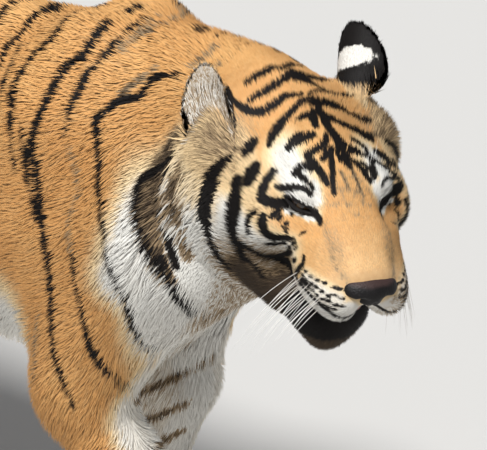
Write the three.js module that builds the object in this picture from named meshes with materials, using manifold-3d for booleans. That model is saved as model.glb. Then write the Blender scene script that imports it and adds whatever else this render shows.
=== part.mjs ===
// A walking tiger, life size, as a still display model. Units are millimetres, +Z is up and the tiger
// faces -Y, so its left side is at +X. The body is one smooth volume, described by blended muscles,
// meshed at a resolution that suits each region and parted by thin cuts into named pieces.
import * as THREE from "three";
import { mergeVertices } from "three/addons/utils/BufferGeometryUtils.js";
import Module from "manifold-3d";

const wasm = await Module();
wasm.setup();

// ---------------------------------------------------------------- driving dimensions
const WITHERS_HEIGHT = 976; // top of the shoulders above the floor
const GAP = 0.4; // width of the cuts between pieces
const JAW_OPEN_DEG = 7.5; // how far the lower jaw hangs open
const TAIL_ROOT_RADIUS = 47;
const TAIL_TIP_RADIUS = 25;
const PAW_HALF_WIDTH = 61;

const EYE = { radius: 20, centre: [-13, 46, 0], outwardDeg: 40, slit: [13, 24, 11] };
const NOSE = { centre: [105, 0, -56], radii: [25, 36, 20] };
const TONGUE = { centre: [40, 0, -101], radii: [46, 25, 9], pitch: 7 };

// Each ear has its own turn: the right one opens outwards and forwards, the left is laid back.
const EAR = { length: 120, width: 82, thickness: 15, cup: 26, sunk: 23 };
const EAR_POSE = {
  right: { base: [-149, -99, -4], tip: [-0.545, -0.22, 0.79], open: [0.44, -0.89, 0.05] },
  left: { base: [-160, 80, 36], tip: [-0.755, 0.252, 0.604], open: [-0.08, 0.88, -0.46] },
};

// Where each paw's centre stands: forward of the withers, and out from the middle.
const STANCE = {
  fore_right: { forward: 235, side: -130 },
  fore_left: { forward: -55, side: 108 },
  hind_right: { forward: -850, side: -124 },
  hind_left: { forward: -1085, side: 122 },
};

// The head's own frame: x along the muzzle, y to the tiger's left, z up, origin between the eyes.
const HEAD_ORIGIN = { forward: 404, side: -101, up: 846 };
const HEAD_TURN_DEG = -28.8; // to the tiger's right
const HEAD_NOD_DEG = 13.8; // nose down
const HEAD_ROLL_DEG = -4.8; // left side down

// ---------------------------------------------------------------- frames
// Tiger coordinates are written (forward, side, up); the model's frame is X = side, Y = -forward, Z = up.
const at = (forward, side, up) => new THREE.Vector3(side, -forward, up);

const headFrame = (() => {
  const turned = new THREE.Matrix4()
    .makeRotationZ(THREE.MathUtils.degToRad(HEAD_TURN_DEG))
    .multiply(new THREE.Matrix4().makeRotationY(THREE.MathUtils.degToRad(HEAD_NOD_DEG)))
    .multiply(new THREE.Matrix4().makeRotationX(THREE.MathUtils.degToRad(HEAD_ROLL_DEG)));
  const toModel = new THREE.Matrix4().makeRotationZ(-Math.PI / 2);
  const origin = at(HEAD_ORIGIN.forward, HEAD_ORIGIN.side, HEAD_ORIGIN.up);
  return new THREE.Matrix4().setPosition(origin).multiply(toModel).multiply(turned);
})();
const headPoint = (x, y, z) => new THREE.Vector3(x, y, z).applyMatrix4(headFrame);

// ---------------------------------------------------------------- fields
// A field is a function of a point that is negative inside. `blend` is how far it melts into the rest.
const smoothMin = (a, b, k) => {
  const h = Math.max(k - Math.abs(a - b), 0) / k;
  return Math.min(a, b) - (h * h * k) / 4;
};
const smoothMax = (a, b, k) => -smoothMin(-a, -b, k);

// An ellipsoid in a frame, turned about the frame's side axis by pitch and its up axis by yaw, in degrees.
function ellipsoid(frame, centre, radii, { pitch = 0, yaw = 0, blend = 30 } = {}) {
  const inverse = frame
    .clone()
    .multiply(new THREE.Matrix4().makeTranslation(...centre))
    .multiply(new THREE.Matrix4().makeRotationZ(THREE.MathUtils.degToRad(yaw)))
    .multiply(new THREE.Matrix4().makeRotationY(THREE.MathUtils.degToRad(pitch)))
    .invert();
  const p = new THREE.Vector3();
  const [a, b, c] = radii;
  const distance = (q) => {
    p.copy(q).applyMatrix4(inverse);
    const k0 = Math.hypot(p.x / a, p.y / b, p.z / c);
    const k1 = Math.hypot(p.x / (a * a), p.y / (b * b), p.z / (c * c));
    return k1 < 1e-9 ? -Math.min(a, b, c) : (k0 * (k0 - 1)) / k1;
  };
  return { distance, blend };
}

// A tapered muscle or bone from a to b. `flat` is its width across the body as a share of its depth.
function limb(a, b, ra, rb, { flat = 1, blend = 30 } = {}) {
  const axis = b.clone().sub(a);
  axis.x /= flat;
  const length2 = axis.lengthSq();
  const distance = (q) => {
    const px = (q.x - a.x) / flat;
    const py = q.y - a.y;
    const pz = q.z - a.z;
    const h = Math.min(1, Math.max(0, (px * axis.x + py * axis.y + pz * axis.z) / length2));
    const radial = Math.hypot(px - h * axis.x, py - h * axis.y, pz - h * axis.z);
    return (radial - (ra + (rb - ra) * h)) * Math.min(1, flat);
  };
  return { distance, blend };
}

// Value of a keyed curve: rows are [position, value...], in falling order of position.
function keyed(rows, position, column) {
  const last = rows.length - 1;
  if (position >= rows[0][0]) return rows[0][column];
  if (position <= rows[last][0]) return rows[last][column];
  const i = rows.findIndex((row) => row[0] < position) - 1;
  const [here, next] = [rows[i], rows[i + 1]];
  const before = rows[Math.max(i - 1, 0)];
  const after = rows[Math.min(i + 2, last)];
  const span = next[0] - here[0];
  const t = (position - here[0]) / span;
  const m0 = ((next[column] - before[column]) / (next[0] - before[0])) * span;
  const m1 = ((after[column] - here[column]) / (after[0] - here[0])) * span;
  const [t2, t3] = [t * t, t * t * t];
  return (
    (2 * t3 - 3 * t2 + 1) * here[column] +
    (t3 - 2 * t2 + t) * m0 +
    (3 * t2 - 2 * t3) * next[column] +
    (t3 - t2) * m1
  );
}

// ---------------------------------------------------------------- anatomy
// The barrel from the neck to the hips: [forward, side, top, bottom, half width] at each station.
const BARREL = [
  [330, -62, 942, 676, 104],
  [240, -34, 982, 638, 120],
  [140, -10, 980, 562, 142],
  [30, 0, WITHERS_HEIGHT - 2, 456, 164],
  [-110, 0, 948, 436, 178],
  [-300, 0, 932, 446, 188],
  [-500, 0, 927, 466, 194],
  [-680, 0, 938, 505, 184],
  [-850, 0, 946, 580, 164],
  [-980, 0, 908, 668, 128],
  [-1040, 0, 868, 730, 84],
];
const BACK_TAPER = 0.3; // how much narrower the barrel is along the back than at mid height

function barrel() {
  const distance = (q) => {
    const forward = Math.min(BARREL[0][0], Math.max(BARREL[BARREL.length - 1][0], -q.y));
    const [side, top, bottom, width] = [1, 2, 3, 4].map((c) => keyed(BARREL, forward, c));
    const height = (top - bottom) / 2;
    const up = (q.z - (top + bottom) / 2) / height;
    const half = width * (1 - BACK_TAPER * Math.min(1, Math.max(0, up)));
    const across = (q.x - side) / half;
    const radial = (Math.hypot(across, up) - 1) * Math.min(half, height);
    const past = Math.abs(-q.y - forward);
    return past > 0 ? Math.hypot(Math.max(radial, 0), past) + Math.min(radial, 0) : radial;
  };
  return { distance, blend: 40 };
}

const SIDES = [
  { name: "right", sign: -1 },
  { name: "left", sign: 1 },
];

// Shoulder blade, upper arm and forearm down to the wrist.
function foreleg(side, sign) {
  const paw = STANCE["fore_" + side];
  const out = Math.abs(paw.side);
  const reach = paw.forward - 60; // how far the leg has swung from upright
  const point = (forward, spread, up) => at(forward, sign * spread, up);
  const blade = point(-20 - 0.08 * reach, 46, WITHERS_HEIGHT - 66 - 0.04 * reach);
  const shoulder = point(112 + 0.12 * reach, 106, 700);
  const elbow = point(-9 + 0.13 * reach, out + 4, 478);
  const forearm = point(14 + 0.36 * reach, out + 6, 392);
  const wrist = point(paw.forward - 52 + 0.04 * reach, out, 128);
  return [
    limb(blade, shoulder, 50, 92, { flat: 0.78, blend: 50 }),
    limb(point(-60, 92, 800), elbow, 100, 62, { flat: 0.78, blend: 60 }),
    limb(shoulder, elbow, 88, 64, { flat: 0.84, blend: 45 }),
    limb(elbow, forearm, 65, 61, { flat: 0.84, blend: 30 }),
    limb(forearm, wrist, 61, 45, { flat: 0.9, blend: 30 }),
    limb(wrist, point(paw.forward - 22, out, 55), 48, 50, { blend: 26 }),
  ];
}

// Thigh, shank, hock and the long bone below it.
function hindleg(side, sign) {
  const paw = STANCE["hind_" + side];
  const out = Math.abs(paw.side);
  const reach = paw.forward + 930;
  const point = (forward, spread, up) => at(forward, sign * spread, up);
  const hip = point(-900, 84, 792);
  const knee = point(-752 + 0.25 * reach, 128, 545);
  const buttock = point(-992 + 0.1 * reach, 84, 705);
  const hock = point(paw.forward - 118, out + 2, 262);
  const heel = point(paw.forward - 140, out + 2, 286);
  const instep = point(paw.forward - 42, out, 66);
  return [
    limb(hip, knee, 136, 92, { flat: 0.7, blend: 55 }),
    limb(buttock, point(-900 + 0.4 * reach, 112, 510), 112, 74, { flat: 0.7, blend: 45 }),
    limb(knee, hock, 90, 47, { flat: 0.76, blend: 45 }),
    limb(hock, heel, 42, 33, { flat: 0.8, blend: 22 }),
    limb(hock, instep, 46, 48, { flat: 0.92, blend: 24 }),
  ];
}

// A broad paw: the pad's body and four toes, which spread a little.
function paw(name, size) {
  const { forward, side } = STANCE[name];
  const toModel = new THREE.Matrix4().makeRotationZ(-Math.PI / 2);
  const frame = new THREE.Matrix4().setPosition(at(forward, side, 0)).multiply(toModel);
  const half = PAW_HALF_WIDTH * size;
  const parts = [ellipsoid(frame, [-12, 0, 42], [76 * size, half, 48], { blend: 22 })];
  for (const toe of [-1.5, -0.5, 0.5, 1.5]) {
    const inner = Math.abs(toe) < 1;
    const centre = [inner ? 50 : 36, toe * half * 0.55, inner ? 32 : 30];
    parts.push(ellipsoid(frame, centre, [37, 19.5 * size, 32], { yaw: toe * 7, blend: 10 }));
  }
  return parts;
}

// The tail leaves the croup, hangs behind the hocks and curls up at its end.
const TAIL = new THREE.CatmullRomCurve3([
  at(-1000, 0, 842),
  at(-1105, -2, 790),
  at(-1190, -8, 655),
  at(-1252, -18, 500),
  at(-1325, -30, 345),
  at(-1440, -44, 240),
  at(-1570, -52, 225),
  at(-1668, -50, 292),
]);
const TAIL_LENGTHS = 14;
function tail() {
  const radius = (t) => TAIL_ROOT_RADIUS + (TAIL_TIP_RADIUS - TAIL_ROOT_RADIUS) * Math.pow(t, 0.75);
  return Array.from({ length: TAIL_LENGTHS }, (_, i) => {
    const [t0, t1] = [i / TAIL_LENGTHS, (i + 1) / TAIL_LENGTHS];
    const blend = i ? 12 : 60;
    return limb(TAIL.getPointAt(t0), TAIL.getPointAt(t1), radius(t0), radius(t1), { blend });
  });
}

const mirrored = (make) => [-1, 1].map(make);

// The forehead, bridge, whisker pads, cheeks and ruff, without the lower jaw, in the head's frame.
function upperHead() {
  const part = (centre, radii, options) => ellipsoid(headFrame, centre, radii, options);
  const bridge = (s) =>
    limb(headPoint(-14, s * 13, -6), headPoint(92, s * 13, -47), 34, 25, { blend: 22 });
  return [
    part([-98, 0, -20], [104, 86, 58], { blend: 36 }),
    part([-30, 0, -9], [62, 60, 37], { pitch: 10, blend: 30 }),
    ...mirrored((s) => part([-30, s * 42, -10], [46, 34, 32], { yaw: s * 20, blend: 22 })),
    ...mirrored(bridge),
    part([92, 0, -60], [26, 34, 24], { pitch: 20, blend: 16 }),
    ...mirrored((s) => part([72, s * 35, -75], [54, 34, 36], { yaw: -s * 8, blend: 14 })),
    ...mirrored((s) => part([26, s * 34, -48], [52, 36, 42], { pitch: 12, blend: 26 })),
    ...mirrored((s) => part([-48, s * 72, -38], [60, 40, 46], { yaw: s * 12, blend: 30 })),
    ...mirrored((s) => part([-98, s * 78, -64], [72, 50, 74], { blend: 34 })),
    ...mirrored((s) => part([-142, s * 95, -56], [54, 54, 86], { pitch: 14, blend: 34 })),
    ...mirrored((s) => part([-156, s * 72, 12], [34, 34, 36], { blend: 30 })),
    part([-165, 0, -62], [96, 108, 90], { blend: 40 }),
  ];
}

// The lower jaw, turned open about the hinge behind the cheeks.
const JAW_HINGE = [-96, 0, -52];
const jawFrame = headFrame
  .clone()
  .multiply(new THREE.Matrix4().makeTranslation(...JAW_HINGE))
  .multiply(new THREE.Matrix4().makeRotationY(THREE.MathUtils.degToRad(JAW_OPEN_DEG)))
  .multiply(new THREE.Matrix4().makeTranslation(...JAW_HINGE.map((v) => -v)));
const jawPoint = (x, y, z) => new THREE.Vector3(x, y, z).applyMatrix4(jawFrame);
function lowerJaw() {
  const rows = mirrored((s) =>
    limb(jawPoint(-70, s * 58, -100), jawPoint(36, s * 25, -130), 42, 30, { blend: 26 }),
  );
  const chin = ellipsoid(jawFrame, [48, 0, -143], [29, 35, 45], { blend: 24 });
  const throat = ellipsoid(jawFrame, [-56, 0, -112], [88, 62, 42], { blend: 40 });
  return [...rows, chin, throat];
}

const blendAll = (parts) => (q) => {
  let d = parts[0].distance(q);
  for (let i = 1; i < parts.length; i++) d = smoothMin(d, parts[i].distance(q), parts[i].blend);
  return d;
};

// The mouth is a thin wedge of air between the lips, from its corners to the front. The upper
// lip hangs lowest under the whisker pads.
const MOUTH = { corner: 14, upper: -91, padDrop: 15, padAt: 34, padWidth: 22, lower: -88 };
const toHead = headFrame.clone().invert();
const toJaw = jawFrame.clone().invert();
function mouthDistance(q) {
  const h = q.clone().applyMatrix4(toHead);
  const j = q.clone().applyMatrix4(toJaw);
  const pad = (Math.abs(h.y) - MOUTH.padAt) / MOUTH.padWidth;
  const underLip = h.z - MOUTH.upper + MOUTH.padDrop * Math.exp(-pad * pad);
  return smoothMax(smoothMax(underLip, MOUTH.lower - j.z, 6), MOUTH.corner - h.x, 10);
}

// Each eye lies in a hollow under the brow. Its frame looks out along the eye.
const eyeFrame = (s) =>
  headFrame
    .clone()
    .multiply(new THREE.Matrix4().makeTranslation(EYE.centre[0], s * EYE.centre[1], EYE.centre[2]))
    .multiply(new THREE.Matrix4().makeRotationZ(THREE.MathUtils.degToRad(s * EYE.outwardDeg)));
const orbits = mirrored((s) => ellipsoid(eyeFrame(s), [EYE.radius + 27, 0, 0], [28, 38, 24], { blend: 16 }));

const bodyField = blendAll([
  barrel(),
  ...SIDES.flatMap(({ name, sign }) => [
    ...foreleg(name, sign),
    ...hindleg(name, sign),
    ...paw("fore_" + name, 1.06),
    ...paw("hind_" + name, 0.94),
  ]),
]);
const tailField = blendAll(tail());
const headField = blendAll([...upperHead(), ...lowerJaw()]);
const fleshField = (q) => {
  let flesh = smoothMin(bodyField(q), headField(q), 60);
  for (const orbit of orbits) flesh = smoothMax(flesh, -orbit.distance(q), orbit.blend);
  return smoothMax(flesh, -mouthDistance(q), 8);
};

// ---------------------------------------------------------------- meshing
const STEP = 0.5;
function slopeOf(field, q, out) {
  const p = q.clone();
  for (const k of ["x", "y", "z"]) {
    p[k] = q[k] + STEP;
    const high = field(p);
    p[k] = q[k] - STEP;
    out[k] = (high - field(p)) / (2 * STEP);
    p[k] = q[k];
  }
  return out;
}

// Surface nets: one vertex in each cell that the surface crosses, moved onto it, and a quad round each crossed edge.
function netMesh(field, box, cell) {
  const size = box.getSize(new THREE.Vector3());
  const n = ["x", "y", "z"].map((k) => Math.ceil(size[k] / cell) + 2);
  const origin = box.min.clone().addScalar(-cell);
  const node = (i, j, k) => i + n[0] * (j + n[1] * k);
  const place = (i, j, k) =>
    new THREE.Vector3(origin.x + i * cell, origin.y + j * cell, origin.z + k * cell);
  const values = new Float32Array(n[0] * n[1] * n[2]);
  for (let k = 0; k < n[2]; k++)
    for (let j = 0; j < n[1]; j++)
      for (let i = 0; i < n[0]; i++) {
        const q = place(i, j, k);
        const rim = i === 0 || j === 0 || k === 0 || i === n[0] - 1 || j === n[1] - 1 || k === n[2] - 1;
        values[node(i, j, k)] = rim ? cell : field(q);
      }
  const corners = [];
  for (let c = 0; c < 8; c++) corners.push([c & 1, (c >> 1) & 1, (c >> 2) & 1]);
  const edges = [];
  for (let a = 0; a < 8; a++)
    for (let b = a + 1; b < 8; b++)
      if ([1, 2, 4].includes(a ^ b)) edges.push([a, b]);

  // The four corners of each face of a cell, in order round it.
  const faces = [
    [0, 1, 3, 2],
    [4, 5, 7, 6],
    [0, 1, 5, 4],
    [2, 3, 7, 6],
    [0, 2, 6, 4],
    [1, 3, 7, 5],
  ];
  const edgeKey = (a, b) => (Math.min(a, b) << 3) | Math.max(a, b);
  const vertexOf = new Map();
  const positions = [];
  const slope = new THREE.Vector3();

  // Parts a cell's crossed edges into sheets of surface, so that two sheets never share a vertex.
  function sheetsOf(inside) {
    const parent = new Map();
    const root = (e) => (parent.get(e) === e ? e : root(parent.get(e)));
    for (const [a, b] of edges) if (inside[a] !== inside[b]) parent.set(edgeKey(a, b), edgeKey(a, b));
    for (const face of faces) {
      const crossed = face
        .map((corner, i) => [corner, face[(i + 1) % 4]])
        .filter(([a, b]) => inside[a] !== inside[b]);
      const join = (p, q) => parent.set(root(edgeKey(...p)), root(edgeKey(...q)));
      if (crossed.length === 2) join(...crossed);
      if (crossed.length === 4)
        for (const corner of face.filter((c) => inside[c])) join(...crossed.filter((e) => e.includes(corner)));
    }
    return (e) => root(e);
  }

  // The vertex, in cell (i, j, k), of the sheet that crosses the cell's edge from corner a to corner b.
  const vertexIn = (i, j, k, a, b) => {
    const cellKey = node(i, j, k);
    if (!vertexOf.has(cellKey)) {
      const value = corners.map((c) => values[node(i + c[0], j + c[1], k + c[2])]);
      const inside = value.map((v) => v < 0);
      const rootOf = sheetsOf(inside);
      const sheets = new Map();
      for (const [p, q] of edges) {
        if (inside[p] === inside[q]) continue;
        const sheet = rootOf(edgeKey(p, q));
        if (!sheets.has(sheet)) sheets.set(sheet, { sum: new THREE.Vector3(), count: 0 });
        const [cp, cq] = [corners[p], corners[q]];
        const from = place(i + cp[0], j + cp[1], k + cp[2]);
        const to = place(i + cq[0], j + cq[1], k + cq[2]);
        sheets.get(sheet).sum.add(from.lerp(to, value[p] / (value[p] - value[q])));
        sheets.get(sheet).count++;
      }
      const low = place(i, j, k);
      for (const sheet of sheets.values()) {
        const q = sheet.sum.divideScalar(sheet.count);
        for (let pass = 0; pass < 4; pass++) {
          const d = Math.max(-cell, Math.min(cell, field(q)));
          slopeOf(field, q, slope);
          q.addScaledVector(slope, -d / Math.max(slope.lengthSq(), 0.2));
          for (const axis of ["x", "y", "z"])
            q[axis] = Math.min(low[axis] + 0.98 * cell, Math.max(low[axis] + 0.02 * cell, q[axis]));
        }
        sheet.index = positions.length / 3;
        positions.push(q.x, q.y, q.z);
      }
      vertexOf.set(cellKey, { rootOf, sheets });
    }
    const { rootOf, sheets } = vertexOf.get(cellKey);
    return sheets.get(rootOf(edgeKey(a, b))).index;
  };

  const triangles = [];
  const steps = [
    [1, 0, 0],
    [0, 1, 0],
    [0, 0, 1],
  ];
  for (let k = 0; k < n[2] - 1; k++)
    for (let j = 0; j < n[1] - 1; j++)
      for (let i = 0; i < n[0] - 1; i++) {
        const inside = values[node(i, j, k)] < 0;
        steps.forEach((step, axis) => {
          if (inside === values[node(i + step[0], j + step[1], k + step[2])] < 0) return;
          const [u, v] = [(axis + 1) % 3, (axis + 2) % 3];
          // The four cells round the edge, and the edge's two corners as each of them counts its own.
          const quad = [[1, 1], [0, 1], [0, 0], [1, 0]].map(([du, dv]) => {
            const back = [0, 0, 0];
            back[u] = du;
            back[v] = dv;
            const a = back[0] | (back[1] << 1) | (back[2] << 2);
            return vertexIn(i - back[0], j - back[1], k - back[2], a, a | (1 << axis));
          });
          if (!inside) quad.reverse();
          triangles.push(quad[0], quad[1], quad[2], quad[0], quad[2], quad[3]);
        });
      }
  return new THREE.BufferGeometry()
    .setAttribute("position", new THREE.Float32BufferAttribute(positions, 3))
    .setIndex(triangles);
}

// ---------------------------------------------------------------- solids
function solidOf(geometry) {
  const plain = geometry.index ? geometry.toNonIndexed() : geometry.clone();
  const bare = new THREE.BufferGeometry().setAttribute("position", plain.getAttribute("position"));
  const merged = mergeVertices(bare, 1e-3);
  return new wasm.Manifold(
    new wasm.Mesh({
      numProp: 3,
      vertProperties: new Float32Array(merged.attributes.position.array),
      triVerts: new Uint32Array(merged.index.array),
    }),
  );
}

function geometryOf(solid) {
  const mesh = solid.getMesh();
  const positions = new Float32Array(mesh.numVert * 3);
  for (let i = 0; i < mesh.numVert; i++)
    positions.set(mesh.vertProperties.subarray(i * mesh.numProp, i * mesh.numProp + 3), i * 3);
  const geometry = new THREE.BufferGeometry()
    .setAttribute("position", new THREE.BufferAttribute(positions, 3))
    .setIndex(new THREE.BufferAttribute(new Uint32Array(mesh.triVerts), 1));
  geometry.computeVertexNormals();
  return geometry;
}

// The largest body of a solid: a cut can leave crumbs at its rim.
const mainBody = (solid) => solid.decompose().reduce((a, b) => (a.volume() > b.volume() ? a : b));

// A ball squashed to an ellipsoid in a frame, then bent by `shape`.
function ball(frame, centre, radii, { pitch = 0, grow = 0, rings = 12, shape = (p) => p } = {}) {
  const geometry = new THREE.SphereGeometry(1, rings * 2, rings);
  const points = geometry.getAttribute("position");
  const p = new THREE.Vector3();
  const turn = new THREE.Euler(0, THREE.MathUtils.degToRad(pitch), 0);
  for (let i = 0; i < points.count; i++) {
    p.fromBufferAttribute(points, i);
    p.multiply(new THREE.Vector3(...radii).addScalar(grow));
    shape(p);
    p.applyEuler(turn).add(new THREE.Vector3(...centre)).applyMatrix4(frame);
    points.setXYZ(i, p.x, p.y, p.z);
  }
  return solidOf(geometry);
}

// A region to cut with: a box in a frame, with room round it for the gap where it takes away.
class Region {
  constructor(frame, low, high) {
    Object.assign(this, { frame, low, high });
  }
  solid(grow = 0) {
    const size = this.low.map((v, i) => this.high[i] - v + 2 * grow);
    const centre = this.low.map((v, i) => (v + this.high[i]) / 2);
    return solidOf(new THREE.BoxGeometry(...size).translate(...centre).applyMatrix4(this.frame));
  }
  bounds() {
    const box = new THREE.Box3(new THREE.Vector3(...this.low), new THREE.Vector3(...this.high));
    return box.applyMatrix4(this.frame);
  }
}

// A frame at a point, x forward and z up, rolled about its x axis and pitched about its y axis.
function frameAt(point, { roll = 0, pitch = 0 } = {}) {
  return new THREE.Matrix4()
    .setPosition(point)
    .multiply(new THREE.Matrix4().makeRotationZ(-Math.PI / 2))
    .multiply(new THREE.Matrix4().makeRotationX(THREE.MathUtils.degToRad(roll)))
    .multiply(new THREE.Matrix4().makeRotationY(THREE.MathUtils.degToRad(pitch)));
}

// ---------------------------------------------------------------- pieces
const FAR = 700; // a region's reach where nothing else bounds it
const floorFrame = frameAt(at(0, 0, 0));
const neckRoot = frameAt(at(158, -14, 760), { pitch: -16 });
const tailMiddle = frameAt(at(-1262, -20, 470), { pitch: -24 });

const regions = {
  muzzle: new Region(headFrame, [27, -110, -240], [180, 110, 70]),
  head: new Region(headFrame, [-212, -240, -250], [180, 240, 160]),
  neck: new Region(neckRoot, [0, -260, -186], [FAR, 260, 330]),
  tail_base: new Region(floorFrame, [-1400, -150, 380], [-1010, 80, 900]),
  tail_end: new Region(tailMiddle, [-500, -150, -400], [110, 80, 0]),
  trunk: new Region(floorFrame, [-1200, -280, 380], [420, 280, 1060]),
};
const LEG_LEVELS = { wrist: 122, elbow: 428, hock: 236, knee: 452 };
const ARM_TILT_DEG = 52; // slope of the cuts that part the upper arms and thighs from the trunk
const THIGH_TILT_DEG = 62;
for (const { name, sign } of SIDES) {
  const fore = STANCE["fore_" + name];
  const hind = STANCE["hind_" + name];
  const inFloor = (forward, low, high) =>
    new Region(
      frameAt(at(forward, sign * 140, 0)),
      [-280, sign > 0 ? -138 : -200, low],
      [280, sign > 0 ? 200 : 138, high],
    );
  // Outward and down from a point under the trunk, so its upper face slopes up and out.
  const wedge = (forward, out, up, tilt, back, front) =>
    new Region(frameAt(at(forward, sign * out, up), { roll: sign * tilt }), [back, -420, -FAR], [front, 420, 0]);
  regions["forepaw_" + name] = inFloor(fore.forward, 0, LEG_LEVELS.wrist);
  regions["forearm_" + name] = inFloor(fore.forward - 60, 0, LEG_LEVELS.elbow);
  regions["upper_arm_" + name] = wedge(0, 66, 436, ARM_TILT_DEG, -150, 330);
  regions["hindpaw_" + name] = inFloor(hind.forward - 30, 0, LEG_LEVELS.hock);
  regions["shank_" + name] = inFloor(hind.forward - 30, 0, LEG_LEVELS.knee);
  regions["thigh_" + name] = wedge(-860, 44, 556, THIGH_TILT_DEG, -400, 210);
}

// What each piece is cut by: later pieces give way to the ones named after them.
const legPieces = ({ name }) => ({
  ["forepaw_" + name]: { cell: 25, not: [] },
  ["forearm_" + name]: { cell: 42, not: ["forepaw_" + name] },
  ["upper_arm_" + name]: { cell: 50, not: ["forearm_" + name] },
  ["hindpaw_" + name]: { cell: 28, not: [] },
  ["shank_" + name]: { cell: 42, not: ["hindpaw_" + name] },
  ["thigh_" + name]: { cell: 54, not: ["shank_" + name] },
});
const limbs = Object.assign({}, ...SIDES.map(legPieces));
const PIECES = {
  muzzle: { cell: 21, within: ["neck"], not: [] },
  head: { cell: 30, within: ["neck"], not: ["muzzle"] },
  neck: { cell: 46, not: ["head"] },
  tail_end: { cell: 29, field: tailField, not: [] },
  tail_base: { cell: 34, field: tailField, not: ["tail_end"] },
  ...limbs,
  trunk: { cell: 66, not: ["neck", ...Object.keys(limbs)] },
};

const COAT = { color: 0xcf7f3a, roughness: 0.85, metalness: 0 };
const finishes = {
  coat: new THREE.MeshStandardMaterial({ name: "orange_coat", ...COAT }),
  nose: new THREE.MeshStandardMaterial({ name: "nose_leather", color: 0x7a4a42, roughness: 0.5, metalness: 0 }),
  tongue: new THREE.MeshStandardMaterial({ name: "tongue_flesh", color: 0xa8524a, roughness: 0.45, metalness: 0 }),
  eye: new THREE.MeshStandardMaterial({ name: "eye_glass", color: 0x9a6a22, roughness: 0.08, metalness: 0 }),
};

const model = new THREE.Group();
model.name = "tiger";
function add(name, solid, finish) {
  const mesh = new THREE.Mesh(geometryOf(mainBody(solid)), finish);
  mesh.name = name;
  model.add(mesh);
}

// The eyes, nose leather and tongue sit in sockets of their own shape.
const eyeCentre = (s) => [EYE.centre[0], s * EYE.centre[1], EYE.centre[2]];
const eyeAt = (s, grow = 0) =>
  ball(headFrame, eyeCentre(s), [EYE.radius, EYE.radius, EYE.radius], { grow, rings: 6 });
// The slit between the lids, in front of the eye.
const slitAt = (s) => ball(eyeFrame(s), [EYE.radius, 0, 0], EYE.slit, { rings: 6 });
// The leather is widest at its top and narrows down to the lip.
const noseAt = (grow = 0) =>
  ball(headFrame, NOSE.centre, NOSE.radii, { grow, rings: 8, shape: (p) => (p.y *= 1 + 0.012 * p.z) });
const tongueAt = (grow = 0) =>
  ball(headFrame, TONGUE.centre, TONGUE.radii, { grow, rings: 7, pitch: TONGUE.pitch });

// An ear is a rounded leaf, cupped towards its opening, with its root sunk in the head.
function earAt(name, grow = 0) {
  const { base, tip, open } = EAR_POSE[name];
  const axis = new THREE.Vector3(...tip).normalize();
  const across = new THREE.Vector3().crossVectors(axis, new THREE.Vector3(...open)).normalize();
  const facing = new THREE.Vector3().crossVectors(across, axis);
  const origin = new THREE.Vector3(...base).addScaledVector(axis, EAR.length / 2 - EAR.sunk);
  const turned = new THREE.Matrix4().makeBasis(facing, across, axis).setPosition(origin);
  const shape = (p) => {
    const along = p.z / (EAR.length / 2);
    p.y *= 1.06 - 0.1 * along;
    const out = p.y / (EAR.width / 2);
    p.x += EAR.cup * (out * out - 0.4) * (1 - 0.35 * along);
  };
  const radii = [EAR.thickness / 2, EAR.width / 2, EAR.length / 2];
  return ball(headFrame.clone().multiply(turned), [0, 0, 0], radii, { grow, rings: 8, shape });
}

// The tail's root, grown by the gap, for the trunk to give way to.
function tailSocket(cell) {
  return netOf("tail_base", (q) => tailField(q) - GAP, cell).intersect(regions.tail_base.solid(GAP));
}

// The solid of a field within a region, before it is cut to the region's faces.
function netOf(name, field, cell) {
  const room = new THREE.Box3(new THREE.Vector3(-320, -760, -cell), new THREE.Vector3(320, 1780, 1080));
  const bounds = regions[name].bounds().intersect(room).expandByScalar(cell);
  return solidOf(netMesh(field, bounds, cell));
}

const ears = [earAt("left", GAP), earAt("right", GAP)];
const inserts = {
  muzzle: [noseAt(GAP), tongueAt(GAP)],
  head: [eyeAt(-1, GAP), eyeAt(1, GAP), slitAt(-1), slitAt(1), tongueAt(GAP), ...ears],
  neck: ears,
  trunk: [tailSocket(PIECES.tail_base.cell)],
};

for (const [name, { cell, field = fleshField, within = [], not }] of Object.entries(PIECES)) {
  let solid = netOf(name, field, cell).intersect(regions[name].solid());
  for (const other of within) solid = solid.intersect(regions[other].solid());
  for (const other of not) solid = solid.subtract(regions[other].solid(GAP));
  for (const insert of inserts[name] ?? []) solid = solid.subtract(insert);
  add(name, solid, finishes.coat);
}
for (const { name, sign } of SIDES) {
  add("ear_" + name, earAt(name), finishes.coat);
  add("eye_" + name, eyeAt(sign), finishes.eye);
}
add("nose_leather", noseAt(), finishes.nose);
add("tongue", tongueAt(), finishes.tongue);

// The origin is on the floor under the middle of the whole animal.
const whole = new THREE.Box3().setFromObject(model);
const middle = whole.getCenter(new THREE.Vector3());
for (const mesh of model.children) mesh.geometry.translate(-middle.x, -middle.y, -whole.min.z);

export default model;
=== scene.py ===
"""The looks of a life-size walking tiger: one skin, a coat of solid tufts and its face.

Sizes are in millimetres in the tiger's own frame, where X is its left, -Y is forward and Z is up.
Every mesh is turned to metres in the shared frame when it is made.
"""

import logging
import math
from contextlib import contextmanager
from dataclasses import dataclass, field
from enum import Enum
from typing import Callable, ClassVar, Iterator, Optional, Sequence

import bmesh
import bpy
import numpy as np
from bmesh.types import BMesh
from bpy.types import Material, Mesh, Node, NodeSocket, Object
from mathutils import Matrix, Vector
from mathutils.bvhtree import BVHTree


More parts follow.
